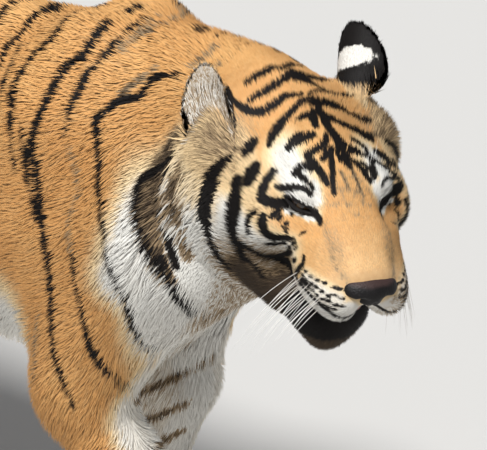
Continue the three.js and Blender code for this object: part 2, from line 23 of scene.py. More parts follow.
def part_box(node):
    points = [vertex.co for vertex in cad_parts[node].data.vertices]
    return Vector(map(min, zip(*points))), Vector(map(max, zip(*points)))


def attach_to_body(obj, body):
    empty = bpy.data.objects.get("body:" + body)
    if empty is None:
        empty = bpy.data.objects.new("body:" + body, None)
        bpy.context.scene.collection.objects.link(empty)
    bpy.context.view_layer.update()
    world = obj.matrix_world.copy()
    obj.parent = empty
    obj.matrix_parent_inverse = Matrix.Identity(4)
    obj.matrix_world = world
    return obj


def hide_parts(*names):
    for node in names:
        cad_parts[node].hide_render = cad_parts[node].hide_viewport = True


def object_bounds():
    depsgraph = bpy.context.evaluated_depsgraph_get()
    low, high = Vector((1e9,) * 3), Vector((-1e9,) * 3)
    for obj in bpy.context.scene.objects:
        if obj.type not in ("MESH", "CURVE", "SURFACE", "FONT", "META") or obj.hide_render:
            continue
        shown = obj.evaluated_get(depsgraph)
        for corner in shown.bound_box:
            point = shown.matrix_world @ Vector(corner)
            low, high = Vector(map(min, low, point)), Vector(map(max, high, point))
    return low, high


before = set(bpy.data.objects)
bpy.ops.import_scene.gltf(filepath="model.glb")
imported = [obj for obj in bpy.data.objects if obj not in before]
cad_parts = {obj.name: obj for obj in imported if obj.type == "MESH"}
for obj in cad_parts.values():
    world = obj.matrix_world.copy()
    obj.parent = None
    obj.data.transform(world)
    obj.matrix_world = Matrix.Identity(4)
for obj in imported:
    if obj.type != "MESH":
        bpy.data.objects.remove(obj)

LOG = logging.getLogger("tiger")
Array = np.ndarray
MM = 0.001  # metres in a millimetre
FAR = 1e3  # farther than any shape reaches
TINY = 1e-9  # the least divisor
NO_MARK = 30.0  # the distance to a mark's edge where none is near
FLESH = [
    name
    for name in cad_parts
    if not name.startswith("eye_") and name not in ("nose_leather", "tongue")
]
SIDES = {"right": -1.0, "left": 1.0}


# ---------------------------------------------------------------------------------- frames
def moved(x: float, y: float, z: float) -> Array:
    """Returns the 4x4 matrix of a move.

    Args:
        x: how far along x.
        y: how far along y.
        z: how far along z.

    Returns:
        The matrix.
    """
    matrix = np.eye(4)
    matrix[:3, 3] = (x, y, z)
    return matrix


def turned(axis: str, degrees: float) -> Array:
    """Returns the 4x4 matrix of a turn about X, Y or Z."""
    return np.array(Matrix.Rotation(math.radians(degrees), 4, axis))


def at(forward: float, side: float, up: float) -> Array:
    """Returns the point so far forward of the withers, out to the left and above the floor."""
    return np.array((side, -forward, up), float)


def placed(matrix: Array, points: Array) -> Array:
    """Returns points (N x 3, or one point) taken through a 4x4 matrix."""
    return points @ matrix[:3, :3].T + matrix[:3, 3]


def dot(a: Array, b: Array) -> Array:
    """Returns the products of row vectors with one another."""
    return np.einsum("ij,ij->i", a, b)


def length_of(vectors: Array) -> Array:
    """Returns the lengths of row vectors."""
    return np.sqrt(dot(vectors, vectors))


def unit(vectors: Array) -> Array:
    """Returns row vectors made one long."""
    return vectors / np.maximum(length_of(vectors), TINY)[:, None]


def ramp(low: float, high: float, values: Array) -> Array:
    """Returns 0 at low, 1 at high and a smooth rise between them."""
    t = np.clip((values - low) / (high - low), 0.0, 1.0)
    return t * t * (3.0 - 2.0 * t)


def smooth_min(a: Array, b: Array, k: float) -> Array:
    """Returns the lower of two fields, melted together over k."""
    h = np.maximum(k - np.abs(a - b), 0.0) / k
    return np.minimum(a, b) - h * h * k / 4.0


def smooth_max(a: Array, b: Array, k: float) -> Array:
    """Returns the higher of two fields, melted together over k."""
    return -smooth_min(-a, -b, k)


def bump_at(points: Array, centre: Sequence[float], reach: Sequence[float]) -> Array:
    """Returns a soft bump of height 1 round a centre, with its own reach along each axis."""
    q = (points - np.array(centre)) / np.array(reach)
    return np.exp(-dot(q, q))


def folded(h: Array) -> Array:
    """Returns points of the head's frame with its right half laid over its left half."""
    return np.stack([h[:, 0], np.abs(h[:, 1]), h[:, 2]], axis=1)


def hermite(here: Array, leave: Array, ahead: Array, arrive: Array, t: Array) -> Array:
    """Returns points of a cubic curve between two points.

    Args:
        here: the first point, or a row of them.
        leave: the curve's slope there.
        ahead: the second point.
        arrive: the curve's slope there.
        t: how far along each wanted point lies, from 0 to 1.

    Returns:
        The points.
    """
    t2, t3 = t * t, t * t * t
    curve = (2 * t3 - 3 * t2 + 1) * here + (t3 - 2 * t2 + t) * leave
    return curve + (3 * t2 - 2 * t3) * ahead + (t3 - t2) * arrive


@dataclass(frozen=True)
class HeadPose:
    """Where the head is and how it is turned. Its x runs along the muzzle, y to its left, z up."""

    origin: tuple = (404.0, -101.0, 846.0)
    turn: float = -28.8
    nod: float = 13.8
    roll: float = -4.8

    def matrix(self) -> Array:
        """Returns the head's frame as a 4x4 matrix."""
        pose = turned("Z", self.turn) @ turned("Y", self.nod) @ turned("X", self.roll)
        return moved(*at(*self.origin)) @ turned("Z", -90) @ pose


HEAD = HeadPose().matrix()
TO_HEAD = np.linalg.inv(HEAD)


# ---------------------------------------------------------------------------------- shapes
class Shape:
    """A solid that is described by its distance: negative inside, in millimetres."""

    blend: float = 30.0
    middle: Array = np.zeros(3)
    reach: float = FAR

    def distance(self, points: Array) -> Array:
        """Returns how far each point is outside the shape."""
        raise NotImplementedError


class Ellipsoid(Shape):
    """An ellipsoid in a frame, turned by yaw about the frame's z and by pitch about its y."""

    def __init__(
        self,
        base: Array,
        centre: Sequence[float],
        radii: Sequence[float],
        pitch: float = 0.0,
        yaw: float = 0.0,
        blend: float = 30.0,
    ) -> None:
        """Places the ellipsoid.

        Args:
            base: the frame that holds it.
            centre: its centre in that frame.
            radii: its half sizes.
            pitch: its turn about the side axis, in degrees.
            yaw: its turn about the upright axis, in degrees.
            blend: how far it melts into the rest.
        """
        whole = base @ moved(*centre) @ turned("Z", yaw) @ turned("Y", pitch)
        self.inverse = np.linalg.inv(whole)
        self.radii = np.array(radii, float)
        self.blend = blend
        self.middle = whole[:3, 3]
        self.reach = float(self.radii.max())

    def distance(self, points: Array) -> Array:
        """Returns how far each point is outside the ellipsoid.

        Args:
            points: the places, as rows in the tiger's own frame.

        Returns:
            The distances.
        """
        q = placed(self.inverse, points)
        near = length_of(q / self.radii)
        steep = length_of(q / self.radii**2)
        off = near * (near - 1.0) / np.maximum(steep, TINY)
        return np.where(steep < TINY, -self.radii.min(), off)


class Limb(Shape):
    """A tapered muscle or bone between two points, flattened across the body."""

    def __init__(
        self,
        start: Array,
        end: Array,
        start_radius: float,
        end_radius: float,
        flat: float = 1.0,
        blend: float = 30.0,
    ) -> None:
        """Places the limb.

        Args:
            start: one end of its axis.
            end: the other end.
            start_radius: its radius at the start.
            end_radius: its radius at the end.
            flat: its width across the body as a share of its depth.
            blend: how far it melts into the rest.
        """
        self.squeeze = np.array((1.0 / flat, 1.0, 1.0))
        self.start = start
        self.axis = (end - start) * self.squeeze
        self.radii = (start_radius, end_radius)
        self.flat = flat
        self.blend = blend
        self.middle = (start + end) / 2.0
        self.reach = float(np.linalg.norm(end - start)) / 2.0 + max(self.radii)

    def distance(self, points: Array) -> Array:
        """Returns how far each point is outside the limb.

        Args:
            points: the places, as rows in the tiger's own frame.

        Returns:
            The distances.
        """
        q = (points - self.start) * self.squeeze
        along = np.clip(q @ self.axis / float(self.axis @ self.axis), 0.0, 1.0)
        radial = length_of(q - along[:, None] * self.axis)
        low, high = self.radii
        return (radial - (low + (high - low) * along)) * min(1.0, self.flat)


@dataclass
class Barrel(Shape):
    """The trunk from neck to hips, as stations of forward, side, top, bottom and half width."""

    STATIONS: ClassVar[Array] = np.array(
        [
            (330, -62, 942, 676, 104),
            (240, -34, 982, 638, 120),
            (140, -10, 980, 562, 142),
            (30, 0, 974, 456, 164),
            (-110, 0, 948, 436, 178),
            (-300, 0, 932, 446, 188),
            (-500, 0, 927, 466, 194),
            (-680, 0, 938, 505, 184),
            (-850, 0, 946, 580, 164),
            (-980, 0, 908, 668, 128),
            (-1040, 0, 868, 730, 84),
        ],
        float,
    )
    blend = 40.0
    reach = 4 * FAR
    back_taper: float = 0.3

    def at_station(self, forward: Array) -> Array:
        """Returns side, top, bottom and half width at each place along the body.

        Args:
            forward: how far forward of the withers each place is.

        Returns:
            One row of the four sizes for each place.
        """
        rows = self.STATIONS
        last = len(rows) - 1
        i = np.clip(np.searchsorted(-rows[:, 0], -forward, side="right") - 1, 0, last - 1)
        here, ahead = rows[i], rows[i + 1]
        before, after = rows[np.maximum(i - 1, 0)], rows[np.minimum(i + 2, last)]
        span = (ahead[:, 0] - here[:, 0])[:, None]
        t = (forward - here[:, 0])[:, None] / span
        leave = (ahead - before) / (ahead[:, :1] - before[:, :1]) * span
        arrive = (after - here) / (after[:, :1] - here[:, :1]) * span
        return hermite(here, leave, ahead, arrive, t)[:, 1:]

    def distance(self, points: Array) -> Array:
        """Returns how far each point is outside the barrel.

        Args:
            points: the places, as rows in the tiger's own frame.

        Returns:
            The distances.
        """
        forward = np.clip(-points[:, 1], self.STATIONS[-1, 0], self.STATIONS[0, 0])
        side, top, bottom, width = self.at_station(forward).T
        height = (top - bottom) / 2.0
        up = (points[:, 2] - (top + bottom) / 2.0) / height
        half = width * (1.0 - self.back_taper * np.clip(up, 0.0, 1.0))
        across = (points[:, 0] - side) / half
        radial = (np.hypot(across, up) - 1.0) * np.minimum(half, height)
        past = np.abs(-points[:, 1] - forward)
        beyond = np.hypot(np.maximum(radial, 0), past) + np.minimum(radial, 0)
        return np.where(past > 0, beyond, radial)


@dataclass(frozen=True)
class EarPose:
    """Where an ear grows from the head, points and opens, in the head's frame."""

    base: tuple
    tip: tuple
    open: tuple


EARS = {
    "right": EarPose((-149, -99, -4), (-0.545, -0.22, 0.79), (0.44, -0.89, 0.05)),
    "left": EarPose((-160, 80, 36), (-0.755, 0.252, 0.604), (-0.08, 0.88, -0.46)),
}


@dataclass
class Ear(Shape):
    """A rounded leaf, cupped towards its opening, with its root sunk in the head."""

    pose: EarPose
    length: float = 120.0
    width: float = 82.0
    thickness: float = 15.0
    cup: float = 26.0
    sunk: float = 23.0
    blend: float = 14.0

    def __post_init__(self) -> None:
        """Places the ear by its pose."""
        axis = unit(np.array([self.pose.tip], float))[0]
        across = np.cross(axis, np.array(self.pose.open, float))
        across /= np.linalg.norm(across)
        self.frame = np.eye(4)
        self.frame[:3, :3] = np.stack([np.cross(across, axis), across, axis], axis=1)
        self.frame[:3, 3] = np.array(self.pose.base) + axis * (self.length / 2 - self.sunk)
        self.frame = HEAD @ self.frame
        self.inverse = np.linalg.inv(self.frame)
        self.middle = self.frame[:3, 3]
        self.reach = self.length / 2 + self.cup

    def own(self, points: Array) -> Array:
        """Returns points in the ear's frame with its cup straightened: out of it, across, along.

        Args:
            points: the places, as rows in the tiger's own frame.

        Returns:
            The points in the ear's frame.
        """
        q = placed(self.inverse, points)
        along = q[:, 2] / (self.length / 2)
        across = q[:, 1] / (self.width / 2)
        q[:, 0] -= self.cup * (across**2 - 0.4) * (1 - 0.35 * along)
        q[:, 1] /= 1.06 - 0.1 * along
        return q

    def distance(self, points: Array) -> Array:
        """Returns how far each point is outside the ear.

        Args:
            points: the places, as rows in the tiger's own frame.

        Returns:
            The distances.
        """
        radii = np.array((self.thickness, self.width, self.length)) / 2
        q = self.own(points)
        near = length_of(q / radii)
        return near * (near - 1.0) / np.maximum(length_of(q / radii**2), TINY)


def melted(shapes: Sequence[Shape], points: Array, margin: float = 90.0) -> Array:
    """Returns the distance to all the shapes melted together.

    Args:
        shapes: the shapes, each with its own blend.
        points: the places to measure from.
        margin: how far past a shape's reach a point still feels it.

    Returns:
        The distance at each point, in millimetres.
    """
    total = np.full(len(points), FAR)
    for shape in shapes:
        offset = points - shape.middle
        near = dot(offset, offset) < (shape.reach + margin) ** 2
        if near.any():
            total[near] = smooth_min(total[near], shape.distance(points[near]), shape.blend)
    return total


# --------------------------------------------------------------------------------- anatomy
@dataclass(frozen=True)
class Stance:
    """Where a paw stands: forward of the withers and out from the middle."""

    forward: float
    side: float


STANCE = {
    "fore_right": Stance(235, -130),
    "fore_left": Stance(-55, 108),
    "hind_right": Stance(-850, -124),
    "hind_left": Stance(-1085, 122),
}
PAW_HALF_WIDTH = 61.0
PAW_SIZE = {"fore": 1.06, "hind": 0.94}
TOES = (-1.5, -0.5, 0.5, 1.5)
WITHERS = 976.0


def foreleg(side: str, sign: float) -> list:
    """Returns the shoulder blade, upper arm and forearm down to the wrist.

    Args:
        side: which side's leg.
        sign: 1 for the left side.

    Returns:
        The leg's shapes.
    """
    stance = STANCE["fore_" + side]
    out = abs(stance.side)
    swing = stance.forward - 60

    def point(forward: float, spread: float, up: float) -> Array:
        """Returns a point on this side."""
        return at(forward, sign * spread, up)

    blade = point(-20 - 0.08 * swing, 46, WITHERS - 66 - 0.04 * swing)
    shoulder = point(112 + 0.12 * swing, 106, 700)
    elbow = point(-9 + 0.13 * swing, out + 4, 478)
    forearm = point(14 + 0.36 * swing, out + 6, 392)
    wrist = point(stance.forward - 52 + 0.04 * swing, out, 128)
    return [
        Limb(blade, shoulder, 50, 92, 0.78, 50),
        Limb(point(-60, 92, 800), elbow, 100, 62, 0.78, 60),
        Limb(shoulder, elbow, 88, 64, 0.84, 45),
        Limb(elbow, forearm, 65, 61, 0.84, 30),
        Limb(forearm, wrist, 61, 45, 0.9, 30),
        Limb(wrist, point(stance.forward - 22, out, 55), 48, 50, 1.0, 26),
    ]


def hindleg(side: str, sign: float) -> list:
    """Returns the thigh, shank, hock and the long bone below it.

    Args:
        side: which side's leg.
        sign: 1 for the left side.

    Returns:
        The leg's shapes.
    """
    stance = STANCE["hind_" + side]
    out = abs(stance.side)
    swing = stance.forward + 930

    def point(forward: float, spread: float, up: float) -> Array:
        """Returns a point on this side."""
        return at(forward, sign * spread, up)

    knee = point(-752 + 0.25 * swing, 128, 545)
    hock = point(stance.forward - 118, out + 2, 262)
    buttock = point(-992 + 0.1 * swing, 84, 705)
    return [
        Limb(point(-900, 84, 792), knee, 136, 92, 0.7, 55),
        Limb(buttock, point(-900 + 0.4 * swing, 112, 510), 112, 74, 0.7, 45),
        Limb(knee, hock, 90, 47, 0.76, 45),
        Limb(hock, point(stance.forward - 140, out + 2, 286), 42, 33, 0.8, 22),
        Limb(hock, point(stance.forward - 42, out, 66), 46, 48, 0.92, 24),
    ]


def paw_frame(name: str) -> Array:
    """Returns the frame on the floor under a paw's middle, with x forward."""
    stance = STANCE[name]
    return moved(*at(stance.forward, stance.side, 0)) @ turned("Z", -90)


def paw(name: str) -> list:
    """Returns a broad paw: the pad's body and four toes, which spread a little.

    Args:
        name: the leg's name, such as fore_left.

    Returns:
        The paw's shapes.
    """
    base, size = paw_frame(name), PAW_SIZE[name[:4]]
    half = PAW_HALF_WIDTH * size
    parts = [Ellipsoid(base, (-12, 0, 42), (76 * size, half, 48), blend=22)]
    for toe in TOES:
        inner = abs(toe) < 1
        centre = (50 if inner else 36, toe * half * 0.55, 32 if inner else 30)
        parts.append(Ellipsoid(base, centre, (37, 19.5 * size, 32), yaw=toe * 7, blend=10))
    return parts


@dataclass
class Tail:
    """The tail's line, from the croup to its tip, and its shapes.

    `hold` is how far from the line the coat is the tail's, and `stride` how many points of the
    line are passed over when the nearest one is looked for.
    """

    root_radius: float = 47.0
    tip_radius: float = 25.0
    lengths: int = 14
    steps: int = 40
    hold: float = 75.0
    stride: int = 5

    POINTS: ClassVar[Array] = np.array(
        [
            at(-1000, 0, 842),
            at(-1105, -2, 790),
            at(-1190, -8, 655),
            at(-1252, -18, 500),
            at(-1325, -30, 345),
            at(-1440, -44, 240),
            at(-1570, -52, 225),
            at(-1668, -50, 292),
        ]
    )

    def __post_init__(self) -> None:
        """Works out the tail's line, evenly along its length."""
        ends = [2 * self.POINTS[0] - self.POINTS[1], 2 * self.POINTS[-1] - self.POINTS[-2]]
        knots = np.vstack([ends[0], self.POINTS, ends[1]])
        line = [self.POINTS[0]]
        for i in range(1, len(knots) - 2):
            for step in range(1, self.steps + 1):
                line.append(self.between(knots[i - 1 : i + 3], step / self.steps))
        self.line = np.array(line)
        run = np.linalg.norm(np.diff(self.line, axis=0), axis=1)
        self.run = np.concatenate([[0.0], np.cumsum(run)])
        self.length = float(self.run[-1])

    @staticmethod
    def between(four: Array, t: float) -> Array:
        """Returns a point of the centripetal curve through four points, between the middle two.

        Args:
            four: the points.
            t: how far along the wanted point lies, from 0 to 1.

        Returns:
            The point.
        """
        first, here, ahead, last = four
        d = [float(np.linalg.norm(four[i + 1] - four[i])) ** 0.5 for i in range(3)]
        middle = (ahead - here) / d[1]
        leave = ((here - first) / d[0] - (ahead - first) / (d[0] + d[1]) + middle) * d[1]
        arrive = (middle - (last - here) / (d[1] + d[2]) + (last - ahead) / d[2]) * d[1]
        return hermite(here, leave, ahead, arrive, t)

    def point(self, share: float) -> Array:
        """Returns the point at a share of the tail's length."""
        along = share * self.length
        return np.array([np.interp(along, self.run, self.line[:, k]) for k in range(3)])

    def radius(self, share: float) -> float:
        """Returns the tail's radius at a share of its length."""
        return self.root_radius + (self.tip_radius - self.root_radius) * share**0.75

    def shapes(self) -> list:
        """Returns the tail's lengths.

        Returns:
            The shapes, from the croup to the tip.
        """
        made = []
        for i in range(self.lengths):
            low, high = i / self.lengths, (i + 1) / self.lengths
            ends = (self.point(low), self.point(high), self.radius(low), self.radius(high))
            made.append(Limb(*ends, 1.0, 12 if i else 60))
        return made

    def nearest(self, points: Array) -> tuple:
        """Returns how points lie to the tail.

        Args:
            points: the points.

        Returns:
            Each point's place along the tail, its distance from the line, and the tail's direction.
        """
        coarse = self.line[:: self.stride]
        gap = ((points[:, None, :] - coarse[None, :, :]) ** 2).sum(axis=2)
        i = np.clip(gap.argmin(axis=1), 1, len(coarse) - 2)
        direction = unit(coarse[i + 1] - coarse[i - 1])
        offset = points - coarse[i]
        along = dot(offset, direction)
        gap = length_of(offset - along[:, None] * direction)
        return self.run[:: self.stride][i] + along, gap, direction


TAIL = Tail()
TAIL_CROUP = at(-1060, 0, 815)


def pair(base: Array, centre: tuple, radii: tuple, yaw: float = 0.0, **options: float) -> list:
    """Returns an ellipsoid on each side, the right one first.

    Args:
        base: the frame that holds them.
        centre: the left one's centre.
        radii: their half sizes.
        yaw: the left one's turn about the upright axis, in degrees.
        **options: their pitch and blend.

    Returns:
        The two shapes.
    """
    x, y, z = centre
    return [Ellipsoid(base, (x, s * y, z), radii, yaw=s * yaw, **options) for s in SIDES.values()]


def bars(base: Array, start: tuple, end: tuple, radii: tuple, blend: float) -> list:
    """Returns a round bar on each side, the right one first.

    Args:
        base: the frame that holds them.
        start: where the left one starts.
        end: where the left one ends.
        radii: their radius at the start and at the end.
        blend: how far they melt into the rest.

    Returns:
        The two shapes.
    """
    made = []
    for s in SIDES.values():
        low, high = placed(base, np.array([(x, s * y, z) for x, y, z in (start, end)], float))
        made.append(Limb(low, high, *radii, 1.0, blend))
    return made


def upper_head() -> list:
    """Returns the forehead, bridge, whisker pads, cheeks and ruff, without the lower jaw.

    Returns:
        The shapes.
    """
    return [
        Ellipsoid(HEAD, (-98, 0, -20), (104, 86, 58), blend=36),
        Ellipsoid(HEAD, (-30, 0, -9), (62, 60, 37), pitch=10, blend=30),
        *pair(HEAD, (-30, 42, -10), (46, 34, 32), yaw=20, blend=22),
        *bars(HEAD, (-14, 13, -6), (92, 13, -47), (34, 25), 22),
        Ellipsoid(HEAD, (92, 0, -60), (26, 34, 24), pitch=20, blend=16),
        *pair(HEAD, (72, 35, -75), (54, 34, 36), yaw=-8, blend=14),
        *pair(HEAD, (26, 34, -48), (52, 36, 42), pitch=12, blend=26),
        *pair(HEAD, (-48, 72, -38), (60, 40, 46), yaw=12, blend=30),
        *pair(HEAD, (-98, 78, -64), (72, 50, 74), blend=34),
        *pair(HEAD, (-142, 95, -56), (54, 54, 86), pitch=14, blend=34),
        *pair(HEAD, (-156, 72, 12), (34, 34, 36), blend=30),
        Ellipsoid(HEAD, (-165, 0, -62), (96, 108, 90), blend=40),
    ]


JAW_HINGE = (-96.0, 0.0, -52.0)
JAW_OPEN = 7.5
JAW = HEAD @ moved(*JAW_HINGE) @ turned("Y", JAW_OPEN) @ moved(*(-v for v in JAW_HINGE))
TO_JAW = np.linalg.inv(JAW)


def lower_jaw() -> list:
    """Returns the jaw's two sides, the chin and the throat.

    Returns:
        The shapes.
    """
    return [
        *bars(JAW, (-70, 58, -100), (36, 25, -130), (42, 30), 26),
        Ellipsoid(JAW, (48, 0, -143), (29, 35, 45), blend=24),
        Ellipsoid(JAW, (-56, 0, -112), (88, 62, 42), blend=40),
    ]


@dataclass(frozen=True)
class MouthGap:
    """The thin wedge of air between the lips. The upper lip hangs lowest under the whisker pads."""

    corner: float = 14.0
    upper: float = -91.0
    drop: float = 15.0
    drop_at: float = 34.0
    drop_width: float = 22.0
    lower: float = -88.0

    def under_lip(self, h: Array) -> Array:
        """Returns how far points of the head's frame are above the upper lip's edge."""
        pad = (np.abs(h[:, 1]) - self.drop_at) / self.drop_width
        return h[:, 2] - self.upper + self.drop * np.exp(-pad * pad)

    def distance(self, points: Array) -> Array:
        """Returns how far each point is outside the wedge.

        Args:
            points: the places, as rows in the tiger's own frame.

        Returns:
            The distances.
        """
        h = placed(TO_HEAD, points)
        j = placed(TO_JAW, points)
        wedge = smooth_max(self.under_lip(h), self.lower - j[:, 2], 6.0)
        return smooth_max(wedge, self.corner - h[:, 0], 10.0)


@dataclass(frozen=True)
class EyeSize:
    """The eyeball and the opening between its lids."""

    radius: float = 20.0
    centre: tuple = (-13.0, 46.0, 0.0)
    outward: float = 40.0
    lid: float = 2.6
    half_length: float = 18.0
    upper: float = 3.2
    lower: float = 5.2
    slant: float = 0.16
    dip: float = 2.5
    pocket: float = 4.0

    def frame(self, sign: float) -> Array:
        """Returns the frame at an eye's middle, which looks out along the opening."""
        x, y, z = self.centre
        return HEAD @ moved(x, sign * y, z) @ turned("Z", sign * self.outward)

    def slit(self, e: Array, sign: float) -> Array:
        """Returns how far points of an eye's frame are outside the opening between its lids.

        Args:
            e: the points, in the frame that looks along x.
            sign: 1 for the left eye.

        Returns:
            The distance across the lids, in millimetres; it is negative in the opening.
        """
        across = e[:, 1] * sign
        up = e[:, 2] - self.slant * across + self.dip * ramp(0.0, -self.half_length - 6, across)
        share = np.clip(np.abs(across) / self.half_length, 0.0, 1.0)
        arch = 1.0 - share**2.0
        tall = np.where(up > 0, self.upper, self.lower) * arch
        gap = (np.abs(up) - tall) * np.where(share < 1, 1 / (1 + 0.35 * share), 1.0)
        return np.where(share < 1, gap, np.hypot(up, np.abs(across) - self.half_length))


EYE = EyeSize()
EYE_FRAMES = {side: EYE.frame(sign) for side, sign in SIDES.items()}
TO_EYES = {side: np.linalg.inv(base) for side, base in EYE_FRAMES.items()}


class Body:
    """The whole animal's form as fields: the coat's outer surface, and the skin beneath it.

    The face is worked out within `FACE_REACH` of the head's middle, and an ear's skin lies
    `EAR_COAT` beneath its coat.
    """

    FACE_REACH: ClassVar[float] = 330.0
    EAR_COAT: ClassVar[float] = 3.2

    def __init__(self) -> None:
        """Makes every shape once."""
        self.trunk = [Barrel()]
        for side, sign in SIDES.items():
            self.trunk += foreleg(side, sign) + hindleg(side, sign)
            self.trunk += paw("fore_" + side) + paw("hind_" + side)
        self.head = upper_head() + lower_jaw()
        self.tail = TAIL.shapes()
        self.ears = {side: Ear(pose) for side, pose in EARS.items()}
        self.mouth = MouthGap()
        hollow = (EYE.radius + 27, 0, 0)
        frames = EYE_FRAMES.values()
        self.orbits = [Ellipsoid(base, hollow, (28, 38, 24), blend=16) for base in frames]

    def outer(self, points: Array) -> Array:
        """Returns how far each point is outside the tips of the coat.

        Args:
            points: the places, as rows in the tiger's own frame.

        Returns:
            The distances.
        """
        flesh = smooth_min(melted(self.trunk, points), melted(self.head, points), 60.0)
        near_root = ramp(240.0, 90.0, length_of(points - TAIL_CROUP))
        return smooth_min(flesh, melted(self.tail, points), 3.0 + 45.0 * near_root)

    def depth(self, points: Array) -> Array:
        """Returns how far the skin lies beneath the tips of the coat.

        Args:
            points: the places, as rows in the tiger's own frame.

        Returns:
            The depths.
        """
        h = placed(TO_HEAD, points)
        up = points[:, 2]
        deep = 10.0 - 4.0 * ramp(430, 300, up) - 2.5 * ramp(150, 80, up)
        belly = ramp(560, 480, up) * ramp(-900, -780, -points[:, 1])
        belly = belly * ramp(150, 60, np.abs(points[:, 0]))
        deep += 8.0 * belly * ramp(380, 440, up)
        on_head = ramp(-230, -150, h[:, 0]) * ramp(-330, -260, h[:, 2])
        face = 7.0 - 3.6 * ramp(-30, 60, h[:, 0])
        deep += (face - deep) * on_head
        for s in SIDES.values():
            deep += 13.0 * bump_at(h, (-125, s * 118, -70), (62, 60, 80))
        deep += 7.0 * bump_at(h, (-70, 0, -170), (80, 70, 50))
        return deep

    def skin(self, points: Array) -> Array:
        """Returns how far each point is outside the skin.

        Args:
            points: the places, as rows in the tiger's own frame.

        Returns:
            The distances.
        """
        flesh = self.outer(points) + self.depth(points)
        flesh = np.maximum(flesh, 0.6 - points[:, 2])
        near = (length_of(placed(TO_HEAD, points)) < self.FACE_REACH).nonzero()[0]
        if len(near):
            flesh[near] = self.face(points[near], flesh[near])
        return flesh

    def face(self, points: Array, flesh: Array) -> Array:
        """Returns the skin's field with the ears, orbits, lids, lips and folds of the face.

        Args:
            points: points near the head.
            flesh: the field before the face is added.

        Returns:
            The field with the face.
        """
        for orbit in self.orbits:
            flesh = smooth_max(flesh, -orbit.distance(points), orbit.blend)
        for ear in self.ears.values():
            flesh = smooth_min(flesh, ear.distance(points) + self.EAR_COAT, ear.blend)
        for to_eye in TO_EYES.values():
            flesh = self.lids(placed(to_eye, points), flesh)
        return smooth_max(flesh, -self.mouth.distance(points), 7.0)

    @staticmethod
    def lids(e: Array, flesh: Array) -> Array:
        """Returns the field with one eye's closed lids over its ball.

        Args:
            e: points in the eye's frame, which looks along x.
            flesh: the field before the lids.

        Returns:
            The field with the lids.
        """
        return smooth_min(flesh, length_of(e) - (EYE.radius + EYE.lid), 9.0)


BODY = Body()


def slope(form: Callable, points: Array, step: float = 0.4) -> tuple:
    """Returns a field's value and its gradient at each point.

    Args:
        form: a function of points.
        points: the places, as rows in the tiger's own frame.
        step: how far apart the field is read.

    Returns:
        The values, and the gradients as rows.
    """
    value = form(points)
    gradient = np.empty_like(points)
    for k in range(3):
        ahead = points.copy()
        ahead[:, k] += step
        gradient[:, k] = (form(ahead) - value) / step
    return value, gradient


# -------------------------------------------------------------------------------- markings
class Look(Enum):
    """The way a mark's points are read and drawn onto the skin."""

    HEAD_TOP = "x and y in the head's frame, from above"
    HEAD_SIDE = "x and z in the head's frame, from one side"
    FLANK = "forward and up, from one side"
    INNER = "forward and up, from between the legs"


@dataclass(frozen=True)
class Mark:
    """One stripe or spot: a line over the skin with its half width at the start, middle and end.

    `soft` is how far its edge fades, and `fade` how much of the ground colour shows through it.
    """

    points: tuple
    widths: tuple = (1.5, 3.0, 1.5)
    soft: float = 1.0
    fade: float = 0.0


